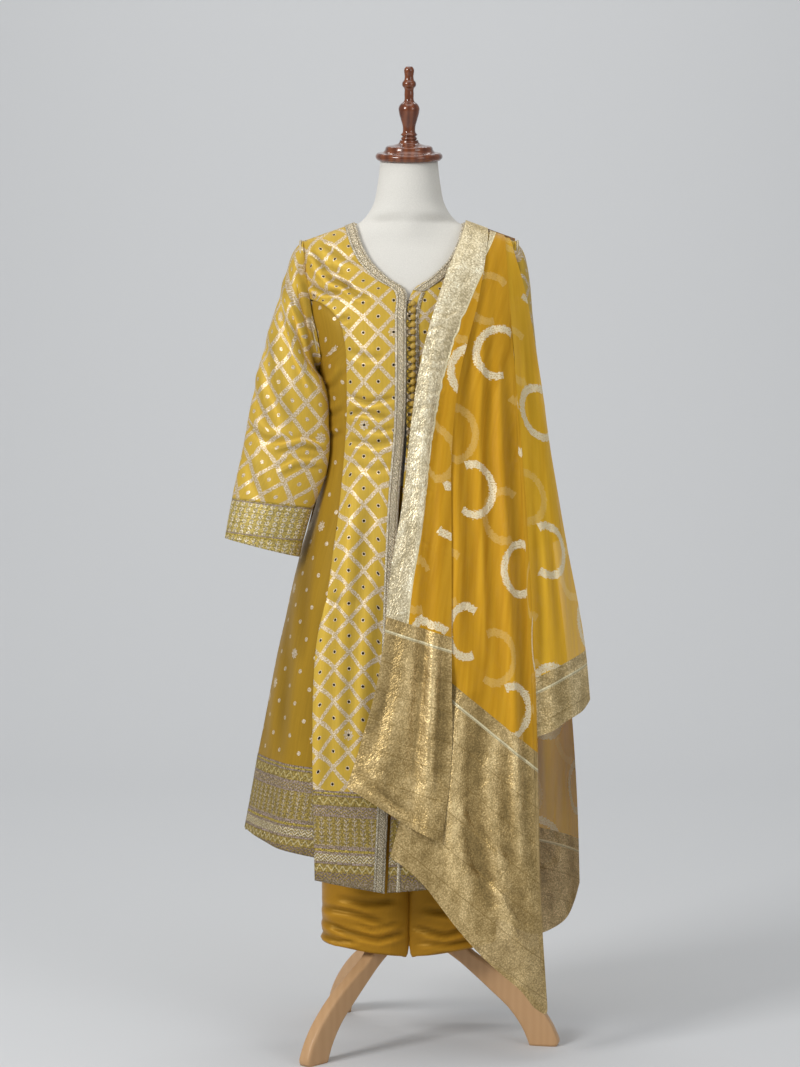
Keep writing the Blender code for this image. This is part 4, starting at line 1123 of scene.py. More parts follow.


# %% [markdown]
# ## Satin, organza and gold tissue
#
# The salwar is a plain satin: smooth and a little darker, with painted shade in every crease and a
# painted highlight on its ridges. The dupatta is organza, so sheer that what is behind it shows
# through. Its selvedge and ends are tissue, woven with flat gold strip, which is nearly opaque and
# crumples into tiny facets, whose glints are painted.

# %% Satin and plain finishes
def satin(name, ground, deep):
    """Silk satin: its floats run one way, so the sheen is smooth. Its streaks and broad bands are
    partly its own tone and partly painted sheen, with painted shade and highlight on its creases.
    """
    material, tree, shader = new_material(name, 0.36, shine=0.45, tint="#F0C468")
    place = flat_place(tree, "Weave")[2]
    broad = thread_noise(tree, place, 0.30, 0.06, 2.0)
    fine_thread = thread_noise(tree, place, 0.05, 0.0012, 2.0)
    toned = node(tree, "Mix", into={0: broad, 6: deep, 7: ground}, **BLEND)
    light = node(tree, "MapRange", fine_thread, 0.3, 0.7, 0.92, 1.06)
    light = node(tree, TIMES, light, fold_light(tree, 0.60, 1.40))
    tree.links.new(node(tree, "HueSaturation", into={"Value": light, "Color": toned}),
                   shader.inputs["Base Color"])
    raised = node(tree, "Bump", into={"Strength": 0.12, "Distance": 0.0005, "Height": fine_thread})
    tree.links.new(raised, shader.inputs["Normal"])
    return material


# %% The dupatta
RING_WIDE, RING_TALL = 0.116, 0.232  # repeat of the rings, every other column half way down
RING_OUT, RING_IN = 0.0475, 0.0345  # radii of a ring
LAYER_BEHIND = (0.047, 0.083)  # where the rings of the next layer lie under those in front
STRIPE_FROM, STRIPE_HALF = 0.022, 0.0022  # the pale stripe across the gold end
CREASE_LINE_PITCH = 0.046  # thin lines across the gold end


def open_rings(tree, place, u, v, shift):
    """Woven rings in a half drop repeat, each open at one place."""
    across = node(tree, "Math:DIVIDE", node(tree, PLUS, u, shift[0]), RING_WIDE)
    column = node(tree, "Math:ROUND", across)
    drop = node(tree, TIMES, node(tree, "Math:MODULO", column, 2.0), 0.5)
    down = node(tree, "Math:DIVIDE", node(tree, PLUS, v, shift[1]), RING_TALL)
    down = node(tree, PLUS, down, drop)
    row = node(tree, "Math:ROUND", down)
    x = node(tree, TIMES, node(tree, MINUS, across, column), RING_WIDE)
    y = node(tree, TIMES, node(tree, MINUS, down, row), RING_TALL)
    far = node(tree, "VectorMath:LENGTH", node(tree, "CombineXYZ", x, y, 0.0), gives=1)
    rough = thread_noise(tree, place, 0.0024, 0.006, 2.0)
    wobble = node(tree, TIMES, node(tree, MINUS, rough, 0.5), 0.010)
    far = node(tree, PLUS, far, wobble)
    ring = node(tree, TIMES, node(tree, "Math:LESS_THAN", far, RING_OUT),
                node(tree, "Math:GREATER_THAN", far, RING_IN))
    # the opening is on the left or on the right, by chance
    cell = node(tree, "CombineXYZ", column, row, 1.7)
    chance = node(tree, "TexWhiteNoise", cell, noise_dimensions="3D")
    heading = node(tree, "Math:ARCTAN2", y, x)
    towards = node(tree, "Math:SIGN", node(tree, MINUS, chance, 0.55))
    opened = node(tree, TIMES, node(tree, "Math:COSINE", heading), towards)
    ring = node(tree, TIMES, ring, node(tree, "Math:LESS_THAN", opened, 0.50))
    glint = thread_noise(tree, place, 0.0022, 0.0022, 2.0)
    return node(tree, TIMES, ring, node(tree, "MapRange", glint, 0.36, 0.52, 0.35, 1.0))


def organza(name, shift, thick="#C08618", thin="#DEAA30", sheer=(0.82, 0.92), end="#D2BC8E"):
    """Zones: U is the distance into the selvedge border, V the distance into the gold end."""
    material, tree, shader = new_material(name, 0.40, tint="#F2CC66")
    u, v, place = flat_place(tree, "Weave")
    in_border, in_end = flat_place(tree, "Zones")[:2]
    ring = open_rings(tree, place, u, v, shift)
    # gold tissue of the border and of the end, with a plain stripe between two lines in the end
    border_on = node(tree, "Math:GREATER_THAN", in_border, 0.0)
    end_on = node(tree, "Math:GREATER_THAN", in_end, 0.0)
    gold = node(tree, "Math:MAXIMUM", border_on, end_on)
    stripe_far = node(tree, "Math:ABSOLUTE", node(tree, MINUS, in_end, STRIPE_FROM))
    stripe = node(tree, "Math:LESS_THAN", stripe_far, STRIPE_HALF)
    edge_far = node(tree, "Math:ABSOLUTE", node(tree, MINUS, in_border, 0.0015))
    edge_line = node(tree, "Math:LESS_THAN", edge_far, 0.0012)
    edge_line = node(tree, TIMES, edge_line, node(tree, MINUS, 1.0, end_on))
    weave = node(tree, "TexVoronoi", place, into={"Scale": 330.0})
    crumple = thread_noise(tree, place, 0.024, 0.024, 5.0)
    grit = thread_noise(tree, place, 0.0022, 0.0030, 2.0)
    broad = thread_noise(tree, place, 0.16, 0.045, 2.0)
    # painted glints of the tissue's facets, with painted shade and highlight of its crumples and folds
    glint_and_shade = node(tree, "MapRange", weave, 0.0, 0.7, 1.22, 0.74)
    glint_and_shade = node(tree, TIMES, glint_and_shade, fold_light(tree, 0.68, 1.32))
    for noise, *reach in (
        (grit, 0.34, 0.66, 0.80, 1.18),
        (broad, 0.32, 0.68, 0.76, 1.22),
        (crumple, 0.3, 0.7, 0.80, 1.18),
    ):
        glint_and_shade = node(tree, TIMES, glint_and_shade, node(tree, "MapRange", noise, *reach))
    gold_tone = node(tree, "Mix", into={0: end_on, 6: "#FAF3DE", 7: end}, **BLEND)
    # painted highlight: where the painted glints are strongest the gold is paler, elsewhere a deeper gold
    highlight_share = node(tree, "MapRange", glint_and_shade, 0.60, 1.45, 0.0, 1.0)
    highlight_tint = node(tree, "Mix", into={0: highlight_share, 6: "#F4E8CC", 7: "#FFFDF8"}, **BLEND)
    tissue = node(tree, "HueSaturation", into={"Value": glint_and_shade, "Color": gold_tone})
    tissue = node(tree, "Mix", into={0: 1.0, 6: tissue, 7: highlight_tint}, **BLEND, blend_type="MULTIPLY")
    bright = node(tree, "Math:MAXIMUM", stripe, edge_line)
    tissue = node(tree, "Mix", into={0: bright, 6: tissue, 7: "#EADFB8"}, **BLEND)
    # painted shade: thin dark lines across the gold end, where it was creased in folding
    crease_shade = node(tree, "Math:GREATER_THAN", node(tree, "Math:PINGPONG", in_end, CREASE_LINE_PITCH / 2),
               CREASE_LINE_PITCH / 2 - 0.0008)
    crease_shade = node(tree, TIMES, node(tree, TIMES, crease_shade, end_on), 0.5)
    tissue = node(tree, "Mix", into={0: crease_shade, 6: tissue, 7: "#8A7140"}, **BLEND)
    # the sheer ground, with painted shade in its creases and painted highlight on their ridges
    slub = thread_noise(tree, place, 0.18, 0.012, 3.0)
    ground = node(tree, "Mix", into={0: slub, 6: thick, 7: thin}, **BLEND)
    ground = node(tree, "HueSaturation", into={"Value": fold_light(tree, 0.84, 1.16), "Color": ground})
    # a ring of the layer behind shows faintly through
    behind = open_rings(tree, place, u, v, (shift[0] + LAYER_BEHIND[0], shift[1] + LAYER_BEHIND[1]))
    behind = node(tree, TIMES, behind, 0.30)
    ground = node(tree, "Mix", into={0: behind, 6: ground, 7: "#F4DC98"}, **BLEND)
    ringed = node(tree, "Mix", into={0: ring, 6: ground, 7: "#EDE0BE"}, **BLEND)
    colour = node(tree, "Mix", into={0: gold, 6: ringed, 7: tissue}, **BLEND)
    tree.links.new(colour, shader.inputs["Base Color"])
    metal = node(tree, PLUS, node(tree, TIMES, gold, 0.50),
                 node(tree, TIMES, ring, 0.25), use_clamp=True)
    tree.links.new(metal, shader.inputs["Metallic"])
    dense = node(tree, "Math:MAXIMUM", node(tree, TIMES, gold, 0.97), ring)
    dense = node(tree, "Math:MAXIMUM", dense, node(tree, "MapRange", slub, 0.3, 0.7, *sheer))
    tree.links.new(dense, shader.inputs["Alpha"])
    height = node(tree, PLUS, node(tree, TIMES, weave, gold),
                  node(tree, TIMES, node(tree, TIMES, crumple, gold), 6.0))
    height = node(tree, PLUS, height, node(tree, TIMES, slub, 0.4))
    raised = node(tree, "Bump", into={"Strength": 0.5, "Distance": 0.0010, "Height": height})
    tree.links.new(raised, shader.inputs["Normal"])
    return material


# %% Wood, jersey and thread
GRAIN_STRETCH = (70.0, 70.0, 9.0)  # the grain runs up, eight times as long as it is wide


def wood(name, light_hex, dark_hex, roughness, coat):
    """Planed or turned wood. The coat is varnish: 0.8 is a full gloss, 0.1 is a wipe of oil."""
    material, tree, shader = new_material(name, roughness)
    shader.inputs["Coat Weight"].default_value = coat
    shader.inputs["Coat Roughness"].default_value = 0.08
    place = node(tree, "TexCoord", gives=3)
    scaled = node(tree, "Mapping", place, into={"Scale": GRAIN_STRETCH})
    grain = node(tree, "TexNoise", scaled, into={"Scale": 1.0, "Detail": 4.0})
    growth_rings = node(tree, "TexWave", scaled, into={"Scale": 0.35, "Distortion": 5.0, "Detail": 2.0})
    both = node(tree, "Mix", into={0: 0.45, 2: grain, 3: growth_rings})
    colour = node(tree, "Mix", into={0: both, 6: dark_hex, 7: light_hex}, **BLEND)
    tree.links.new(colour, shader.inputs["Base Color"])
    return material


def jersey(name, colour_hex):
    """Fine knitted cotton, pulled tight: matt and nearly even."""
    material, tree, shader = new_material(name, 0.92, shine=0.2)
    place = node(tree, "TexCoord", gives=3)
    knit = node(tree, "TexVoronoi", place, into={"Scale": 700.0})
    light = node(tree, "MapRange", knit, 0.0, 0.7, 0.93, 1.04)
    shown = node(tree, "HueSaturation", into={"Value": light, "Color": colour_hex})
    tree.links.new(shown, shader.inputs["Base Color"])
    raised = node(tree, "Bump", into={"Strength": 0.25, "Distance": 0.0004, "Height": knit})
    tree.links.new(raised, shader.inputs["Normal"])
    return material


def covered(name, ground, roughness=0.5, metallic=0.0):
    """Things wound or covered with thread: buttons, loops and cords."""
    material, tree, shader = new_material(name, roughness, metallic)
    place = node(tree, "TexCoord", gives=3)
    wound = node(tree, "TexNoise", place, into={"Scale": 900.0, "Detail": 2.0})
    light = node(tree, "MapRange", wound, 0.3, 0.7, 0.62, 1.30)
    shown = node(tree, "HueSaturation", into={"Value": light, "Color": ground})
    tree.links.new(shown, shader.inputs["Base Color"])
    raised = node(tree, "Bump", into={"Strength": 0.6, "Distance": 0.0008, "Height": wound})
    tree.links.new(raised, shader.inputs["Normal"])
    return material


# %% The materials of this suit
# Handwoven mustard silk: soft shine, brighter where zari lies on top
SILK = brocade("silk_brocade_lattice", "#CFAE48", "#BC9838")
# the same web without mirrors, which would catch on things at the wrist
SLEEVE_SILK = brocade("silk_brocade_sleeve", "#CFAE48", "#BC9838", line_half=0.11, mirrors=False)
# the side panels' silk has only sprigs; its darker colour is partly a plainer cloth, partly painted shade
SPRIG_SILK = brocade("plain_silk_sprigs", "#AC872A", "#906D1F", lattice=False)
# metal thread embroidery, dull where it is old and couched flat
HEM_GOLD = border("hem_embroidery", "#A08A4A", HEM_ROWS)
CUFF_GOLD = border("cuff_embroidery", "#C2AC62", CUFF_ROWS)
# ready-made braid; its last stretch crosses the hem border and is worked in darker thread
BRAID_GOLD = border("braid_gold", "#B09E78", BRAID_ROWS, darker_from=1.013)
MUSTARD_SATIN = satin("mustard_satin", "#B8862A", "#94691A")
# close-grained hardwood, stained and varnished to a full gloss; beech only oiled
RED_WOOD = wood("red_brown_wood", "#8A4A22", "#4A1D0C", 0.22, 0.8)
BEECH_WOOD = wood("beech_wood", "#CBA276", "#C2986C", 0.45, 0.1)
# the form's cover, silk wound round the button moulds, dark cord, and gimp round the armholes
IVORY = jersey("ivory_jersey", "#DAD7CF")
BUTTON_SILK = covered("button_silk", "#BC9A44")
LOOP_CORD = covered("loop_cord", "#4A3A1A")
TRIM_GOLD = covered("zari_cord", "#CDBE9C", 0.42, 0.3)
print("materials", len(bpy.data.materials))

# %% [markdown]
# ## The kameez
#
# The front is two brocade panels that meet at a slit, with plain sprigged panels at the sides
# and a brocade back. The yoke pulls slightly towards the shoulders and the skirt falls in soft
# folds from the hips. A side panel's edge turns in under the front panel at the princess seam.

# %% Helpers for cloth with edges
def mirrored(grid):
    """Columns the other way round, so that the right side's cloth faces out too."""
    return [list(reversed(row)) for row in grid]


def pressed(points, lines, closed=False):
    """The cloth with creases pressed in, drawn as they are seen from the front."""
    out = crease_field(points[..., 0], points[..., 2], lines)
    return points + normals_of(points, closed) * out[..., None]


def strip(points, start, stop, count, out, from_last=False):
    """A strip of a fine grid between two distances from its edge, moved out along the normals."""
    raised = points + normals_of(points) * out
    if from_last:
        raised = raised[:, ::-1]
    found = []
    for row in raised:
        walked = np.concatenate([[0.0], np.cumsum(np.linalg.norm(np.diff(row, axis=0), axis=1))])
        places = np.linspace(start, stop, count + 1)
        found.append(np.stack([np.interp(places, walked, row[:, i]) for i in range(3)], axis=1))
    found = np.array(found)
    return found[:, ::-1] if from_last else found


def tucked(points, last, across=0.0045, under=0.0024, reach=0.0075):
    """The cloth with one edge turned in sideways and down, under the piece it is sewn to."""
    moved = points[:, ::-1] if last else points
    walked = np.linalg.norm(moved - moved[:, :1], axis=-1)
    weight = np.exp(-((walked / max(reach, 2 * across)) ** 2))[..., None]
    way = moved[:, :1] - moved[:, 4:5]
    way /= np.maximum(np.linalg.norm(way, axis=-1, keepdims=True), 1e-9)
    up = normals_of(points)
    up = up[:, ::-1] if last else up
    moved = moved + way * across * weight - up * under * weight
    return moved[:, ::-1] if last else moved


def axis_uv(points, start, end):
    """Flat places of a tube cut straight: V runs along the axis, U round it."""
    way = np.array(end) - np.array(start)
    way = way / np.linalg.norm(way)
    v = (points - np.array(start)) @ way
    steps = np.diff(points, axis=1)
    steps = steps - (steps @ way)[..., None] * way
    u = np.cumsum(np.linalg.norm(steps, axis=-1), axis=1)
    return np.stack([np.concatenate([u[:, :1] * 0, u], axis=1), v], axis=-1)


def weave_uv(points, level, edge=None):
    """Flat places in metres. U is 0 on the centre line if an edge column is given, else at the
    first column. V is 0 where the first column stands at this level."""
    zero = int(np.abs(points[:, 0 if edge is None else edge, 2] - level).argmin())
    uv = cloth_uv(points, zero)
    if edge is not None:
        uv[..., 0] += points[:, edge, 0][:, None] - uv[:, edge, 0][:, None]
    return uv


# %% Front panels and their borders
RIGHT_FRONT = [
    # points (x, z) as seen from the front, half width, depth in mm, share of the ridges
    ([(-0.156, 1.300), (-0.128, 1.268), (-0.092, 1.252)], 0.0048, 4.4, 0.9),
    ([(-0.166, 1.262), (-0.138, 1.246), (-0.108, 1.246)], 0.0042, 4.0, 0.9),
    ([(-0.146, 1.330), (-0.112, 1.304), (-0.078, 1.292)], 0.0055, 3.4, 0.8),
    ([(-0.160, 1.232), (-0.134, 1.214), (-0.110, 1.182)], 0.0048, 4.2, 0.9),
    ([(-0.165, 1.316), (-0.138, 1.288), (-0.106, 1.276)], 0.0042, 3.2, 0.9),
    ([(-0.110, 1.262), (-0.084, 1.240), (-0.062, 1.236)], 0.0045, 3.0, 0.8),
    ([(-0.150, 1.206), (-0.124, 1.196), (-0.096, 1.206)], 0.0045, 2.8, 0.8),
    ([(-0.098, 1.150), (-0.070, 1.138), (-0.040, 1.140)], 0.0060, 1.8, 0.7),
    ([(-0.100, 1.078), (-0.068, 1.066), (-0.022, 1.074)], 0.0045, 3.8, 0.9),
    ([(-0.102, 1.048), (-0.078, 1.052), (-0.030, 1.040)], 0.0045, 3.6, 0.9),
    ([(-0.070, 1.024), (-0.046, 1.020), (-0.022, 1.026)], 0.0040, 2.6, 0.8),
    ([(-0.100, 1.006), (-0.060, 0.998), (-0.022, 1.004)], 0.0055, 3.0, 0.8),
    ([(-0.098, 0.966), (-0.055, 0.956), (-0.025, 0.966)], 0.0060, 1.5, 0.7),
    ([(-0.066, 0.930), (-0.082, 0.780), (-0.096, 0.640), (-0.104, 0.470)], 0.0120, 3.6, 0.8),
    ([(-0.046, 0.780), (-0.058, 0.620), (-0.064, 0.440)], 0.0130, 2.8, 0.8),
    ([(-0.112, 0.800), (-0.126, 0.620), (-0.136, 0.420)], 0.0100, 2.8, 0.8),
    ([(-0.150, 0.760), (-0.120, 0.742), (-0.080, 0.748)], 0.0080, 1.2, 0.5),
]
LEFT_FRONT = [
    ([(0.150, 1.295), (0.120, 1.262), (0.080, 1.246)], 0.0055, 2.2, 0.8),
    ([(0.090, 1.180), (0.055, 1.166), (0.020, 1.170)], 0.0060, 1.8, 0.7),
    ([(0.095, 1.060), (0.060, 1.048), (0.015, 1.054)], 0.0060, 2.2, 0.7),
    ([(0.070, 0.930), (0.085, 0.760), (0.095, 0.600), (0.100, 0.440)], 0.0130, 3.4, 0.8),
    ([(0.040, 0.800), (0.050, 0.640), (0.056, 0.430)], 0.0120, 2.6, 0.8),
]

RAISED = 0.0005  # a border lies this far out from the panel it is sewn to
fronts = {}
for side, name, lines in ((-1, "right", RIGHT_FRONT), (1, "left", LEFT_FRONT)):
    order = front_grid(side) if side > 0 else mirrored(front_grid(side))
    whole = pressed(fine(order, 320, 72), lines)
    edge = 0 if side > 0 else -1
    cut = int(np.abs(whole[:, edge, 2] - FRONT_ROWS[FRONT_BAND_ROW][0]).argmin())
    fronts[name] = whole
    panel = whole[: cut + 1]
    cloth("kameez_front_" + name, panel,
          {"Weave": weave_uv(panel, 1.10, edge), "Folds": fold_uv(panel, lines)},
          SILK)
    band = whole[cut - 1 :] + normals_of(whole)[cut - 1 :] * RAISED
    cloth("hem_border_front_" + name, band, {"Rows": cloth_uv(band)}, HEM_GOLD)

# %% [markdown]
# ## Braid
#
# A braid is woven flat and sewn on by both edges, so it is a strip of the panel's own surface
# between two distances from the edge, moved out by its thickness. One length runs from the right
# shoulder round the neck and down the slit, another closes the left side of the neck.

# %% Braid round the neck and down the slit
right_trim = strip(fronts["right"], 0.0, BRAID_WIDTH, 6, GAP + BRAID_WALL, from_last=True)
cloth("front_braid_right", right_trim, {"Rows": cloth_uv(right_trim)[..., ::-1]},
      BRAID_GOLD, BRAID_WALL)
placket = int(np.abs(fronts["left"][:, 0, 2] - PLACKET_Z).argmin())
left_neck = strip(fine(front_grid(1)[:NECK_ROWS], 80, 56), 0.0, BRAID_WIDTH, 6, GAP + BRAID_WALL)
cloth("neck_braid_left", left_neck, {"Rows": cloth_uv(left_neck)[..., ::-1]},
      BRAID_GOLD, BRAID_WALL)
lace = strip(fronts["left"][placket + 1 :], LACE_FROM, LACE_TO, 3, GAP + BRAID_WALL)
cloth("placket_lace_left", lace, {"Rows": cloth_uv(lace)[..., ::-1]},
      BRAID_GOLD, BRAID_WALL)

# %% [markdown]
# ## Side panels and back
#
# The side panels are tucked under the fronts. Their tops are pushed up and in, where the seam of
# the armhole takes them in. The back hangs from the yoke and folds where the waist pulls it in.

# %% Side panels
SIDE_CREASES = [
    ([(-0.176, 0.860), (-0.200, 0.660), (-0.214, 0.480)], 0.0110, 3.2, 0.8),
    ([(-0.150, 0.960), (-0.162, 0.860), (-0.180, 0.640)], 0.0090, 2.6, 0.8),
    ([(-0.200, 0.760), (-0.226, 0.620), (-0.244, 0.460)], 0.0100, 2.6, 0.8),
    ([(-0.106, 1.120), (-0.124, 1.096), (-0.142, 1.090)], 0.0050, 2.0, 0.8),
    ([(-0.106, 1.060), (-0.124, 1.048), (-0.142, 1.052)], 0.0050, 2.0, 0.8),
    ([(-0.108, 1.020), (-0.126, 1.012), (-0.142, 1.018)], 0.0050, 1.8, 0.8),
    ([(0.150, 0.900), (0.162, 0.760), (0.172, 0.560)], 0.0110, 2.8, 0.8),
    ([(0.106, 1.060), (0.124, 1.048), (0.140, 1.052)], 0.0050, 2.0, 0.8),
]
for side, name in ((-1, "right"), (1, "left")):
    order = side_grid(side) if side > 0 else mirrored(side_grid(side))
    whole = tucked(pressed(fine(order, 200, 32), SIDE_CREASES), last=side < 0)
    near_top = np.exp(-((np.linalg.norm(whole - whole[:1], axis=-1) / 0.014) ** 2))[..., None]
    whole = whole + near_top * (np.array([0.0, 0.0, 0.0080]) - normals_of(whole) * 0.0024)
    edge = 0 if side > 0 else -1
    cut = int(np.abs(whole[:, edge, 2] - SIDE_ROWS[SIDE_BAND_ROW][0]).argmin())
    panel = whole[: cut + 1]
    cloth("kameez_side_" + name, panel,
          {"Weave": weave_uv(panel, 1.10), "Folds": fold_uv(panel, SIDE_CREASES)},
          SPRIG_SILK)
    band = whole[cut - 1 :] + normals_of(whole)[cut - 1 :] * RAISED
    cloth("hem_border_side_" + name, band, {"Rows": cloth_uv(band)}, HEM_GOLD)

# %% Back
BACK_CREASES = [
    ([(-0.140, 1.300), (-0.080, 1.270), (-0.020, 1.262)], 0.0060, 2.4, 0.8),
    ([(0.140, 1.290), (0.080, 1.262), (0.020, 1.258)], 0.0060, 2.2, 0.8),
    ([(-0.110, 1.050), (-0.050, 1.036), (0.010, 1.042)], 0.0055, 2.6, 0.8),
    ([(-0.100, 1.012), (-0.040, 1.002), (0.030, 1.010)], 0.0055, 2.4, 0.8),
    ([(0.115, 1.030), (0.060, 1.022), (0.000, 1.030)], 0.0055, 2.2, 0.8),
    ([(0.110, 0.980), (0.050, 0.970), (-0.010, 0.976)], 0.0060, 2.0, 0.7),
    ([(-0.080, 0.920), (-0.092, 0.740), (-0.104, 0.480)], 0.0140, 3.4, 0.8),
    ([(0.060, 0.920), (0.072, 0.720), (0.080, 0.460)], 0.0140, 3.4, 0.8),
    ([(-0.010, 0.880), (-0.014, 0.700), (-0.012, 0.460)], 0.0140, 3.0, 0.8),
]
whole = pressed(fine(back_grid(), 220, 110), BACK_CREASES)
cut = int(np.abs(whole[:, 0, 2] - BACK_ROWS[BACK_BAND_ROW][0]).argmin())
middle = whole.shape[1] // 2
panel = whole[: cut + 1]
cloth("kameez_back", panel,
      {"Weave": weave_uv(panel, 1.10, middle), "Folds": fold_uv(panel, BACK_CREASES)},
      SILK)
band = whole[cut - 1 :] + normals_of(whole)[cut - 1 :] * RAISED
cloth("hem_border_back", band, {"Rows": cloth_uv(band)}, HEM_GOLD)

# %% [markdown]
# ## Sleeves
#
# Each sleeve is a tube from the armhole to the cuff. With no arm inside it hangs flat and bends
# at the elbow, and its cap gathers at the underarm. The cuff carries the same border, narrower.

# %% Sleeves and cuffs
RIGHT_SLEEVE = [
    ([(-0.178, 1.275), (-0.162, 1.215), (-0.148, 1.150)], 0.0050, 4.2, 0.9),
    ([(-0.192, 1.250), (-0.170, 1.180), (-0.148, 1.110)], 0.0050, 4.2, 0.9),
    ([(-0.206, 1.226), (-0.182, 1.150), (-0.152, 1.075)], 0.0055, 3.6, 0.9),
    ([(-0.214, 1.290), (-0.200, 1.240), (-0.182, 1.200)], 0.0070, 2.0, 0.7),
    ([(-0.146, 0.992), (-0.175, 1.000), (-0.222, 0.988)], 0.0045, 4.0, 1.0),
    ([(-0.150, 0.966), (-0.184, 0.966), (-0.214, 0.950)], 0.0045, 3.2, 0.9),
    ([(-0.262, 1.034), (-0.235, 1.014), (-0.200, 1.010)], 0.0060, 2.4, 0.8),
    ([(-0.225, 1.190), (-0.216, 1.100), (-0.192, 1.030)], 0.0090, 3.0, 0.8),
    ([(-0.250, 1.120), (-0.238, 1.070), (-0.222, 1.030)], 0.0070, 2.2, 0.8),
    ([(-0.256, 0.980), (-0.246, 0.940), (-0.226, 0.900)], 0.0080, 2.2, 0.8),
]
LEFT_SLEEVE = [
    ([(0.176, 1.262), (0.164, 1.210), (0.152, 1.150)], 0.0055, 3.6, 0.9),
    ([(0.188, 1.230), (0.172, 1.165), (0.156, 1.100)], 0.0060, 3.2, 0.9),
    ([(0.155, 0.980), (0.180, 0.990), (0.210, 0.980)], 0.0060, 3.0, 0.9),
    ([(0.205, 1.150), (0.195, 1.070), (0.176, 1.010)], 0.0090, 2.4, 0.8),
]
# heights, and how far the right sleeve's inner edge leans in over the side panel there
LEAN_Z = [0.80, 0.85, 0.95, 1.03, 1.085, 1.108, 1.122, 1.140]
LEAN_IN = [0.0, 0.004, 0.007, 0.005, 0.012, 0.011, 0.005, 0.0]
for side, name, table, lines in (
    (-1, "right", SLEEVE_RIGHT, RIGHT_SLEEVE),
    (1, "left", SLEEVE_LEFT, LEFT_SLEEVE),
):
    rings = sleeve_rings(side, table)
    rings = mirrored(rings) if side < 0 else rings
    whole = pressed(fine(rings, 150, 96, closed=True), lines, closed=True)
    # the head turns in under the body at the armhole
    near_head = np.exp(-((np.linalg.norm(whole - whole[:1], axis=-1) / 0.010) ** 2))[..., None]
    whole = whole + near_head * np.array([-side * 0.0050, 0.0, 0.0])
    whole = whole - near_head * normals_of(whole, True) * 0.0010
    if side < 0:
        # the inner edge lies in front of the body's side
        inner = whole[..., 0].max(axis=1, keepdims=True) - whole[..., 0]
        near_body = np.interp(whole[..., 2], LEAN_Z, LEAN_IN)
        whole[..., 0] += near_body * np.exp(-((inner / 0.022) ** 2))
    knots = lengths(np.array([[list(p) for p in ring] for ring in rings]))
    cut = int(round(150 * knots[CUFF_ROW + 1] / knots[-1]))
    upper = whole[: cut + 1]
    axis = (side * 0.17, 0.0, 1.31), (side * table[-1][0] * 0.80, 0.0, 0.83)
    cloth("sleeve_" + name, upper, {"Weave": axis_uv(upper, *axis), "Folds": fold_uv(upper, lines)},
          SLEEVE_SILK, closed=True)
    band = whole[cut - 1 :] + normals_of(whole, True)[cut - 1 :] * RAISED
    cloth("cuff_" + name, band, {"Rows": cloth_uv(band)}, CUFF_GOLD, closed=True)

# %% [markdown]
# ## Armhole cords
#
# A thin gimp cord hides the armhole seam. It is couched down all round, so it isn't a free cord:
# a small circle is carried along the seam line, square to it at each place.

# %% Cord over the armhole seams
CORD_RADIUS = 0.0021


def cord(name, line):
    """A round gold cord along a closed line."""
    way = np.roll(line, -1, axis=0) - np.roll(line, 1, axis=0)
    way /= np.linalg.norm(way, axis=1, keepdims=True)
    out = line - line.mean(axis=0)
    out -= (out * way).sum(axis=1, keepdims=True) * way
    out /= np.linalg.norm(out, axis=1, keepdims=True)
    turn = np.linspace(0.0, 2 * math.pi, 9)[None, :, None]
    rounds = np.cos(turn) * out[:, None] + np.sin(turn) * np.cross(way, out)[:, None]
    rounds = line[:, None] + CORD_RADIUS * rounds
    rounds = np.concatenate([rounds, rounds[:1]]) + np.array([0.0, AXIS_Y, 0.0])
    bm = bmesh.new()
    bm.from_mesh(cloth_mesh(name, rounds, {"Weave": cloth_uv(rounds)}, closed=True))
    return finished(name, bm, TRIM_GOLD, [])


for side, name in ((-1, "right"), (1, "left")):
    ring = np.array([list(p) for p in armhole_ring(side)])
    ring = fine([ring, ring + np.array([side * 0.001, 0.0, 0.0])], 1, 160, closed=True)[0, :-1]
    ring = ring + np.array([side * 0.0006, 0.0, 0.0])
    cord("armhole_cord_" + name, ring)
    print("armhole cord", name, "%.2f m" % np.linalg.norm(np.diff(ring, axis=0), axis=1).sum())

# %% [markdown]
# ## Salwar
#
# The trousers are satin: a belt round the hips and one straight tube for each leg. They show
# below the tunic only, where they crease softly over the stand.

# %% Salwar
LEG_CREASES = [
    ([(-0.146, 0.212), (-0.100, 0.196), (-0.050, 0.186), (-0.006, 0.196)], 0.0042, 5.0, 0.9),
    ([(-0.146, 0.234), (-0.096, 0.230), (-0.036, 0.214)], 0.0048, 4.2, 0.9),
    ([(-0.120, 0.254), (-0.070, 0.246), (-0.020, 0.250)], 0.0055, 3.6, 0.8),
    ([(-0.150, 0.190), (-0.120, 0.180), (-0.080, 0.184)], 0.0036, 3.6, 0.9),
    ([(-0.090, 0.214), (-0.060, 0.204), (-0.016, 0.214)], 0.0036, 3.2, 0.9),
    ([(-0.150, 0.170), (-0.100, 0.163), (-0.006, 0.158)], 0.0016, 1.6, 0.4),
    ([(0.006, 0.206), (0.060, 0.194), (0.130, 0.212)], 0.0045, 4.6, 0.9),
    ([(0.020, 0.236), (0.080, 0.228), (0.140, 0.240)], 0.0052, 3.8, 0.9),
    ([(0.010, 0.180), (0.070, 0.178), (0.140, 0.188)], 0.0038, 3.4, 0.9),
    ([(0.006, 0.158), (0.060, 0.162), (0.150, 0.172)], 0.0016, 1.6, 0.4),
]
belt = fine([oval(half, front, back, z, FORM_STEPS, ROUNDNESS) for z, half, front, back in BELT],
            40, 96, closed=True)
cloth("salwar_belt", belt, {"Weave": cloth_uv(belt)}, MUSTARD_SATIN, closed=True)
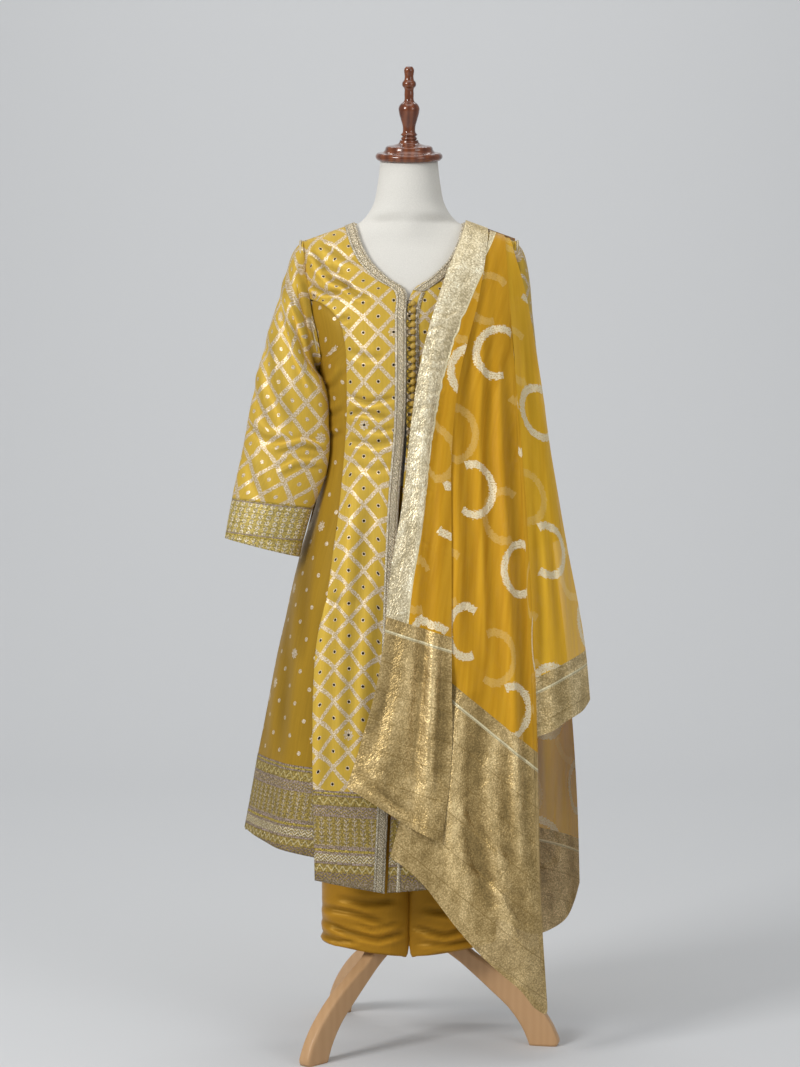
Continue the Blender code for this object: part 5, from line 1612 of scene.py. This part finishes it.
for side, name in ((-1, "right"), (1, "left")):
    rings = leg_rings(side) if side > 0 else mirrored(leg_rings(side))
    leg = pressed(fine(rings, 120, 96, closed=True), LEG_CREASES, closed=True)
    # the front inner corners lean against each other
    inner = np.exp(-((leg[..., 0] / 0.022) ** 2)) * (leg[..., 1] < -0.04)
    leg[..., 0] -= side * 0.0050 * inner
    cloth("salwar_leg_" + name, leg, {"Weave": cloth_uv(leg), "Folds": fold_uv(leg, LEG_CREASES)},
          MUSTARD_SATIN, closed=True)

# %% [markdown]
# ## Dupatta
#
# The scarf is laid over the left shoulder in pleats: three layers hang in front and one behind.
# Its selvedge border runs down the first layer, and both ends are broad bands of gold tissue.

# %% Dupatta
def side_of(points, line):
    """Signed distance in metres, seen from the front: above 0 on the right of or below a line."""
    (x0, z0), (x1, z1) = line
    size = math.hypot(x1 - x0, z1 - z0)
    return ((points[..., 0] - x0) * (z1 - z0) - (points[..., 2] - z0) * (x1 - x0)) / size


FRONT_FOLDS = [
    ([(0.070, 1.200), (0.044, 1.000), (0.032, 0.820), (0.022, 0.640), (0.004, 0.460)], 0.0100, 3.4, 0.9),
    ([(0.056, 0.700), (0.052, 0.560), (0.044, 0.420)], 0.0100, 4.2, 1.0),
    ([(-0.020, 0.720), (-0.034, 0.600), (-0.060, 0.500)], 0.0120, 2.8, 0.7),
    ([(0.036, 1.212), (0.058, 1.204), (0.078, 1.214)], 0.0026, 2.4, 0.9),
    ([(0.030, 1.182), (0.050, 1.188), (0.072, 1.178)], 0.0026, 2.6, 0.9),
    ([(0.028, 1.162), (0.046, 1.156), (0.066, 1.164)], 0.0024, 2.0, 0.9),
    ([(0.024, 1.140), (0.044, 1.132), (0.064, 1.138)], 0.0026, 2.4, 0.9),
    ([(0.020, 1.114), (0.042, 1.120), (0.060, 1.112)], 0.0026, 2.4, 0.9),
    ([(0.018, 1.088), (0.036, 1.080), (0.056, 1.088)], 0.0026, 2.2, 0.9),
    ([(0.014, 1.056), (0.034, 1.062), (0.052, 1.054)], 0.0026, 1.8, 0.8),
    ([(0.010, 1.020), (0.046, 1.012)], 0.0026, 1.8, 0.8),
    ([(0.004, 0.972), (0.042, 0.962)], 0.0026, 1.6, 0.8),
    ([(0.000, 0.930), (0.040, 0.922)], 0.0026, 1.8, 0.8),
    ([(-0.004, 0.850), (0.036, 0.838)], 0.0026, 1.6, 0.8),
    ([(-0.050, 0.640), (0.066, 0.602)], 0.0018, 1.6, 0.5),
    ([(-0.090, 0.546), (0.060, 0.498)], 0.0018, 1.8, 0.5),
    ([(-0.080, 0.470), (-0.030, 0.430), (0.010, 0.400)], 0.0060, 2.6, 0.8),
]
MIDDLE_FOLDS = [
    ([(0.096, 1.200), (0.092, 1.000), (0.098, 0.800), (0.094, 0.640)], 0.0110, 5.0, 0.9),
    ([(0.136, 1.180), (0.128, 1.000), (0.132, 0.820), (0.140, 0.640)], 0.0090, 3.4, 0.9),
    ([(0.158, 1.150), (0.172, 0.900), (0.186, 0.600), (0.194, 0.300)], 0.0100, 5.0, 1.0),
    ([(0.066, 0.640), (0.056, 0.520), (0.036, 0.400)], 0.0160, 6.0, 0.9),
    ([(0.104, 0.600), (0.100, 0.470), (0.104, 0.360), (0.126, 0.250)], 0.0170, 7.0, 0.9),
    ([(0.158, 0.540), (0.156, 0.440), (0.164, 0.330), (0.184, 0.200)], 0.0130, 5.0, 0.9),
    ([(0.090, 0.420), (0.120, 0.370), (0.176, 0.330)], 0.0060, 2.6, 0.8),
    ([(0.100, 0.330), (0.140, 0.290), (0.180, 0.270)], 0.0060, 2.6, 0.8),
    ([(0.140, 0.300), (0.170, 0.250), (0.196, 0.220)], 0.0050, 2.4, 0.8),
]
SIDE_FOLDS = [
    ([(0.186, 1.240), (0.204, 1.000), (0.214, 0.780), (0.220, 0.600)], 0.0090, 4.0, 1.0),
    ([(0.200, 1.140), (0.228, 0.900), (0.246, 0.680)], 0.0080, 3.0, 0.9),
    ([(0.222, 1.060), (0.256, 0.820), (0.274, 0.640)], 0.0080, 2.6, 0.9),
    ([(0.200, 0.640), (0.250, 0.622), (0.292, 0.650)], 0.0040, 1.6, 0.7),
]
BACK_FOLDS = [
    ([(0.112, 1.220), (0.104, 0.900), (0.096, 0.600), (0.088, 0.300)], 0.0110, 4.4, 0.9),
    ([(0.150, 1.200), (0.158, 0.900), (0.166, 0.600), (0.168, 0.320)], 0.0110, 4.4, 0.9),
    ([(0.180, 1.160), (0.208, 0.860), (0.230, 0.560), (0.240, 0.320)], 0.0100, 3.6, 0.9),
    ([(0.060, 0.400), (0.260, 0.380)], 0.0018, 1.0, 0.4),
]


def fall(name, lines, folds, face, coarse, woven, rings_from, selvedge, end_line, tones):
    """One fall of the scarf, with the places of its selvedge border and its gold end."""
    grid = fall_grid(lines, face, *coarse)
    grid = mirrored(grid) if face > 0 else grid
    points = pressed(fine(grid, *woven), folds)
    if name == "dupatta_side_fall":
        # its first edge goes on behind the middle fall
        points = tucked(points, last=False, across=0.0140, under=0.0030)
    uv = cloth_uv(points)
    if face > 0:
        uv[..., 0] = uv[:, -1:, 0] - uv[..., 0]
    heights, widths = [row[0] for row in selvedge], [row[1] for row in selvedge]
    in_border = np.interp(points[..., 2], heights, widths) - uv[..., 0]
    in_end = side_of(points, end_line)
    zones = np.stack([in_border, in_end], axis=-1)
    uvs = {"Weave": uv, "Zones": zones, "Folds": fold_uv(points, folds)}
    silk = organza(name + "_organza", rings_from, **tones)
    return cloth(name, points, uvs, silk, wall=None)


# A single layer is a lighter yellow than the pleats, which lie several layers deep. These falls
# are also coloured lighter as painted light, where they lie in shade.
ONE_LAYER_PAINTED_LIGHTER = {"thick": "#D29A1E", "thin": "#F2C23A", "sheer": (0.88, 0.95), "end": "#DECBA0"}
PLEATED = {}

# Height, and width of the selvedge border there. The middle fall shows its last bit at the top.
WHOLE_SELVEDGE = [(0.40, 0.046), (1.00, 0.046), (1.20, 0.050), (1.37, 0.062)]
END_OF_SELVEDGE = [(1.20, -0.02), (1.37, 0.016)]
NO_SELVEDGE = [(0.0, -1.0)]

FALLS = [
    # name, fold lines, creases, -1 in front and 1 behind, coarse grid, woven grid,
    # where the rings start, selvedge, line (x, z) where the gold end starts, tones
    ("dupatta_front_fall", FRONT_FALL, FRONT_FOLDS, -1, (18, 8), (220, 60),
     (0.02, 0.05), WHOLE_SELVEDGE, ((-0.10, 0.742), (0.075, 0.686)), PLEATED),
    ("dupatta_middle_fall", MIDDLE_FALL, MIDDLE_FOLDS, -1, (20, 12), (240, 90),
     (0.04, 0.10), END_OF_SELVEDGE, ((0.05, 0.630), (0.20, 0.506)), PLEATED),
    ("dupatta_side_fall", SIDE_FALL, SIDE_FOLDS, -1, (15, 8), (200, 60),
     (0.06, 0.02), NO_SELVEDGE, ((0.19, 0.612), (0.30, 0.662)), ONE_LAYER_PAINTED_LIGHTER),
    ("dupatta_back_fall", BACK_FALL, BACK_FOLDS, 1, (17, 12), (220, 90),
     (0.03, 0.08), NO_SELVEDGE, ((0.05, 0.360), (0.29, 0.325)), ONE_LAYER_PAINTED_LIGHTER),
]
for name, *made_of in FALLS:
    fall(name, *made_of)

# %% [markdown]
# ## Buttons and loops
#
# Cloth covered balls close the slit, one every 11.6 mm, each with a loop of dark cord from the
# other edge. A real loop is a cord bent round the ball's neck; here it is a ring spun from a small
# circle. Balls and loops are one piece each, because all of them stay with the cloth.

# %% Buttons
LOOP_RADIUS, LOOP_CORD_RADIUS = 0.0048, 0.0007
LOOP_ASIDE, LOOP_BEHIND = 0.0052, 0.0030  # from the ball's middle to the loop's
UPRIGHT = Matrix.Rotation(math.pi / 2, 3, "X")
button_mesh = bmesh.new()
loop_mesh = bmesh.new()
edge_rows = [(row[1].z, -row[1].y) for row in front_grid(1)[NECK_ROWS:]]
edge_rows.append((PLACKET_Z, bulge(BUTTON_X, body_reach(1, PLACKET_Z), body_depth(-1, PLACKET_Z))))
for k in range(BUTTON_COUNT):
    z = BUTTON_TOP_Z - k * BUTTON_PITCH
    y = AXIS_Y - straight(edge_rows, z) - BUTTON_RADIUS - 0.0004
    ball = bmesh.ops.create_uvsphere(button_mesh, u_segments=20, v_segments=12, radius=BUTTON_RADIUS)
    bmesh.ops.scale(button_mesh, verts=ball["verts"], vec=(1.0, 0.94, 1.0))
    bmesh.ops.translate(button_mesh, verts=ball["verts"], vec=(BUTTON_X, y, z))
    ring = bmesh.ops.create_circle(loop_mesh, segments=8, radius=LOOP_CORD_RADIUS)
    bmesh.ops.translate(loop_mesh, verts=ring["verts"], vec=(LOOP_RADIUS, 0.0, 0.0))
    bmesh.ops.rotate(loop_mesh, verts=ring["verts"], cent=(0, 0, 0), matrix=UPRIGHT)
    edges = list({e for v in ring["verts"] for e in v.link_edges})
    bmesh.ops.spin(loop_mesh, geom=ring["verts"] + edges, cent=(0, 0, 0), axis=(0, 0, 1),
                   angle=2 * math.pi, steps=20, use_merge=True)
    # the new ring is still at the origin, the others have moved to their balls
    made = [v for v in loop_mesh.verts if v.co.length < 0.02 and abs(v.co.z) < 0.01]
    bmesh.ops.rotate(loop_mesh, verts=made, cent=(0, 0, 0), matrix=UPRIGHT)
    bmesh.ops.translate(loop_mesh, verts=made, vec=(BUTTON_X - LOOP_ASIDE, y + LOOP_BEHIND, z))
finished("covered_buttons", button_mesh, BUTTON_SILK,
         ["button_%02d" % (k + 1) for k in range(BUTTON_COUNT)])
finished("button_loops", loop_mesh, LOOP_CORD, [])

# %% [markdown]
# ## The form
#
# The dress form is foam under ivory jersey. It has the kameez's own outline under the shoulders, a
# little smaller, and its neck leans forward.

# %% Form
# the throat runs down into the chest without a step: heights, and how far it is filled out there
THROAT_Z = [1.306, 1.324, 1.340, 1.364, 1.378]
THROAT_OUT = [0.0, 0.0022, 0.0050, 0.0100, 0.0]
THROAT_HALF_WIDTH = 0.035
shoulders = [
    (
        z,
        body_reach(1, z + FORM_CLEAR) - FORM_CLEAR - 0.003 * ease(1.335, 1.30, z),
        body_depth(-1, z + FORM_CLEAR) - FORM_CLEAR - 0.0025 * ease(1.350, 1.32, z),
        body_depth(1, z + FORM_CLEAR) - FORM_CLEAR - 0.0025 * ease(1.350, 1.32, z),
    )
    for z in FORM_SHOULDER_Z
]
rings = []
for z, half, front, back in sorted(FORM + shoulders, reverse=True):
    power = 2.0 + (ROUNDNESS - 2.0) * ease(1.38, 1.30, z)
    ring = oval(half, front, back, z, FORM_STEPS, power)
    throat = np.interp(z, THROAT_Z, THROAT_OUT)
    for p in ring:
        if p.y < 0.0:
            p.y -= throat * math.exp(-((p.x / THROAT_HALF_WIDTH) ** 2))
        p.z += p.y * math.tan(CAP_TILT) * ease(1.43, 1.469, z)
    rings.append(ring)
torso = fine(rings, 180, 96, closed=True) + np.array([0.0, AXIS_Y, 0.0])
torso_mesh = cloth_mesh("form_torso", torso, {"Weave": cloth_uv(torso)}, closed=True)
bm = bmesh.new()
bm.from_mesh(torso_mesh)
bmesh.ops.holes_fill(bm, edges=bm.edges, sides=0)
form = finished("form_torso", bm, IVORY, ["form_torso"])

# %% [markdown]
# ## Cap, finial and stand
#
# The cap and its finial are turned on a lathe: a profile of heights and radii, spun round an axis
# that tilts with the neck. The post and hub are plain rods with eased rims. Each leg is sawn to a
# curve from thick beech board, with its edges rounded over.

# %% Turned wood
def drawn(table, count):
    """A smooth curve through the points of a table, as evenly spaced places."""
    table = np.array(table)
    knots = np.concatenate([[0.0], np.cumsum(np.linalg.norm(np.diff(table, axis=0), axis=1))])
    return smooth(table, knots, np.linspace(0.0, knots[-1], count))


def turned(name, profile, base):
    """A profile of heights and radii, drawn smooth and spun round the tilted axis."""
    curve = drawn(profile, 90)
    bm = bmesh.new()
    line = [bm.verts.new((0.0, 0.0, curve[0][0]))]
    line += [bm.verts.new((max(r, 0.0005), 0.0, z)) for z, r in curve]
    line.append(bm.verts.new((0.0, 0.0, curve[-1][0])))
    edges = [bm.edges.new(pair) for pair in zip(line, line[1:])]
    bmesh.ops.spin(bm, geom=line + edges, cent=(0, 0, 0), axis=(0, 0, 1),
                   angle=2 * math.pi, steps=64, use_merge=True)
    bmesh.ops.remove_doubles(bm, verts=bm.verts, dist=1e-6)
    bmesh.ops.rotate(bm, verts=bm.verts, cent=(0, 0, 0), matrix=Matrix.Rotation(CAP_TILT, 3, "X"))
    bmesh.ops.translate(bm, verts=bm.verts, vec=base)
    return finished(name, bm, RED_WOOD, [name])


turned("neck_cap", CAP_PROFILE, (0.0, AXIS_Y, CAP_Z))
rise = CAP_PROFILE[-1][0]
turned("finial", FINIAL_PROFILE,
       (0.0, AXIS_Y - math.sin(CAP_TILT) * rise, CAP_Z + math.cos(CAP_TILT) * rise))


# %% Stand
def rod(name, radius, low, high, edge):
    """An upright rod with eased rims."""
    bm = bmesh.new()
    bmesh.ops.create_cone(bm, cap_ends=True, segments=48, radius1=radius, radius2=radius, depth=high - low)
    rims = [e for e in bm.edges if abs(e.verts[0].co.z - e.verts[1].co.z) < 1e-6]
    bmesh.ops.bevel(bm, geom=rims, offset=edge, segments=3, profile=0.5, affect="EDGES", material=-1)
    bmesh.ops.translate(bm, verts=bm.verts, vec=(0.0, AXIS_Y, (low + high) / 2))
    return finished(name, bm, BEECH_WOOD, [name])


rod("stand_post", POST_RADIUS, POST_BOTTOM, FORM[-1][0] - GAP, 0.0006)
rod("stand_hub", HUB_RADIUS, HUB_BOTTOM, HUB_TOP, 0.0030)

# %% Legs
TOE = 11  # this many points of the leg's outline are on its upper edge
RINGS, ROUND = 61, 41
SQUARENESS = 0.34  # 1 is round, 0 is square
for name, heading in LEG_HEADINGS.items():
    upper, lower = drawn(STAND_LEG[:TOE], RINGS), drawn(STAND_LEG[: TOE - 1 : -1], RINGS)
    turns = np.linspace(0.0, 2 * math.pi, ROUND)
    across = np.sign(np.cos(turns)) * np.abs(np.cos(turns)) ** SQUARENESS
    up = np.sign(np.sin(turns)) * np.abs(np.sin(turns)) ** SQUARENESS
    middle, half = (upper + lower) / 2, (upper - lower) / 2
    points = np.zeros((RINGS, ROUND, 3))
    points[..., 0] = across[None] * LEG_HALF_WIDTH
    points[..., 1] = -(middle[:, :1] + half[:, :1] * up[None])
    points[..., 2] = np.maximum(middle[:, 1:] + half[:, 1:] * up[None], 0.0)
    bm = bmesh.new()
    bm.from_mesh(cloth_mesh("stand_leg", points, {"Weave": cloth_uv(points)}, closed=True))
    bmesh.ops.holes_fill(bm, edges=bm.edges, sides=0)
    turn = Matrix.Rotation(math.radians(heading), 3, "Z")
    bmesh.ops.rotate(bm, verts=bm.verts, cent=(0, 0, 0), matrix=turn)
    bmesh.ops.translate(bm, verts=bm.verts, vec=(0.0, AXIS_Y, 0.0))
    finished("stand_leg_" + name, bm, BEECH_WOOD, ["stand_leg_" + name])

# %% [markdown]
# ## Cloth that isn't drawn
#
# The borders and braids are sewn on their panels. The dupatta is one scarf of 2.5 x 1.0 m; its
# four layers here are the cloth that shows, and what lies between them in the pleats isn't drawn.

# %% [markdown]
# ## Floor and light
#
# The suit stands on a roll of pale paper that curves up into a wall, wide enough to show from
# any side. A large soft key from the front left and a weaker fill from the right give the silk
# its slow gradients, a third softens the shadows from above, and a fourth lights the wall.

# %% Floor
FLOOR_HALF_WIDTH, FLOOR_HALF_DEPTH, WALL_HEIGHT, CURVE = 7.0, 6.0, 7.0, 3.0
bm = bmesh.new()
bmesh.ops.create_grid(bm, x_segments=1, y_segments=1, size=1.0)
bmesh.ops.scale(bm, verts=bm.verts, vec=(FLOOR_HALF_WIDTH, FLOOR_HALF_DEPTH, 1.0))
back_edge = [e for e in bm.edges if all(v.co.y > FLOOR_HALF_DEPTH - 0.1 for v in e.verts)]
made = bmesh.ops.extrude_edge_only(bm, edges=back_edge)
bmesh.ops.translate(bm, verts=[v for v in made["geom"] if isinstance(v, bmesh.types.BMVert)],
                    vec=(0.0, 0.0, WALL_HEIGHT))
bmesh.ops.bevel(bm, geom=back_edge, offset=CURVE, segments=24, profile=0.5, affect="EDGES", material=-1)
for face in bm.faces:
    face.smooth = True
floor_mesh = bpy.data.meshes.new("floor")
bm.to_mesh(floor_mesh)
bm.free()
paper, tree, shader = new_material("backdrop_paper", 0.9)
shader.inputs["Base Color"].default_value = linear("#D9DADB")
floor_mesh.materials.append(paper)
floor = bpy.data.objects.new("floor", floor_mesh)
bpy.context.scene.collection.objects.link(floor)

# %% Light
def softbox(name, at, towards, size, watts):
    """A flat soft light of this size in metres, turned towards a point."""
    data = bpy.data.lights.new(name, "AREA")
    data.shape = "RECTANGLE"
    data.size, data.size_y = size
    data.energy = watts
    lamp = bpy.data.objects.new(name, data)
    lamp.location = at
    lamp.rotation_euler = (Vector(towards) - Vector(at)).to_track_quat("-Z", "Y").to_euler()
    bpy.context.scene.collection.objects.link(lamp)


softbox("key", (-2.8, -2.6, 2.7), (0, 0, 1.0), (1.2, 1.6), 100)
softbox("fill", (2.6, -3.0, 2.0), (0, 0, 0.9), (1.6, 2.2), 26)
softbox("top", (0.0, -0.6, 3.4), (0, 0, 0.8), (2.0, 2.0), 18)
softbox("backdrop", (0.0, 2.6, 5.2), (0, 5.6, 0.6), (5.0, 1.2), 100)
world = bpy.data.worlds.new("studio")
world.use_nodes = True
world.node_tree.nodes["Background"].inputs[0].default_value = linear("#E4E7EA")
world.node_tree.nodes["Background"].inputs[1].default_value = 0.38
bpy.context.scene.world = world
bpy.context.scene.view_settings.view_transform = "Standard"
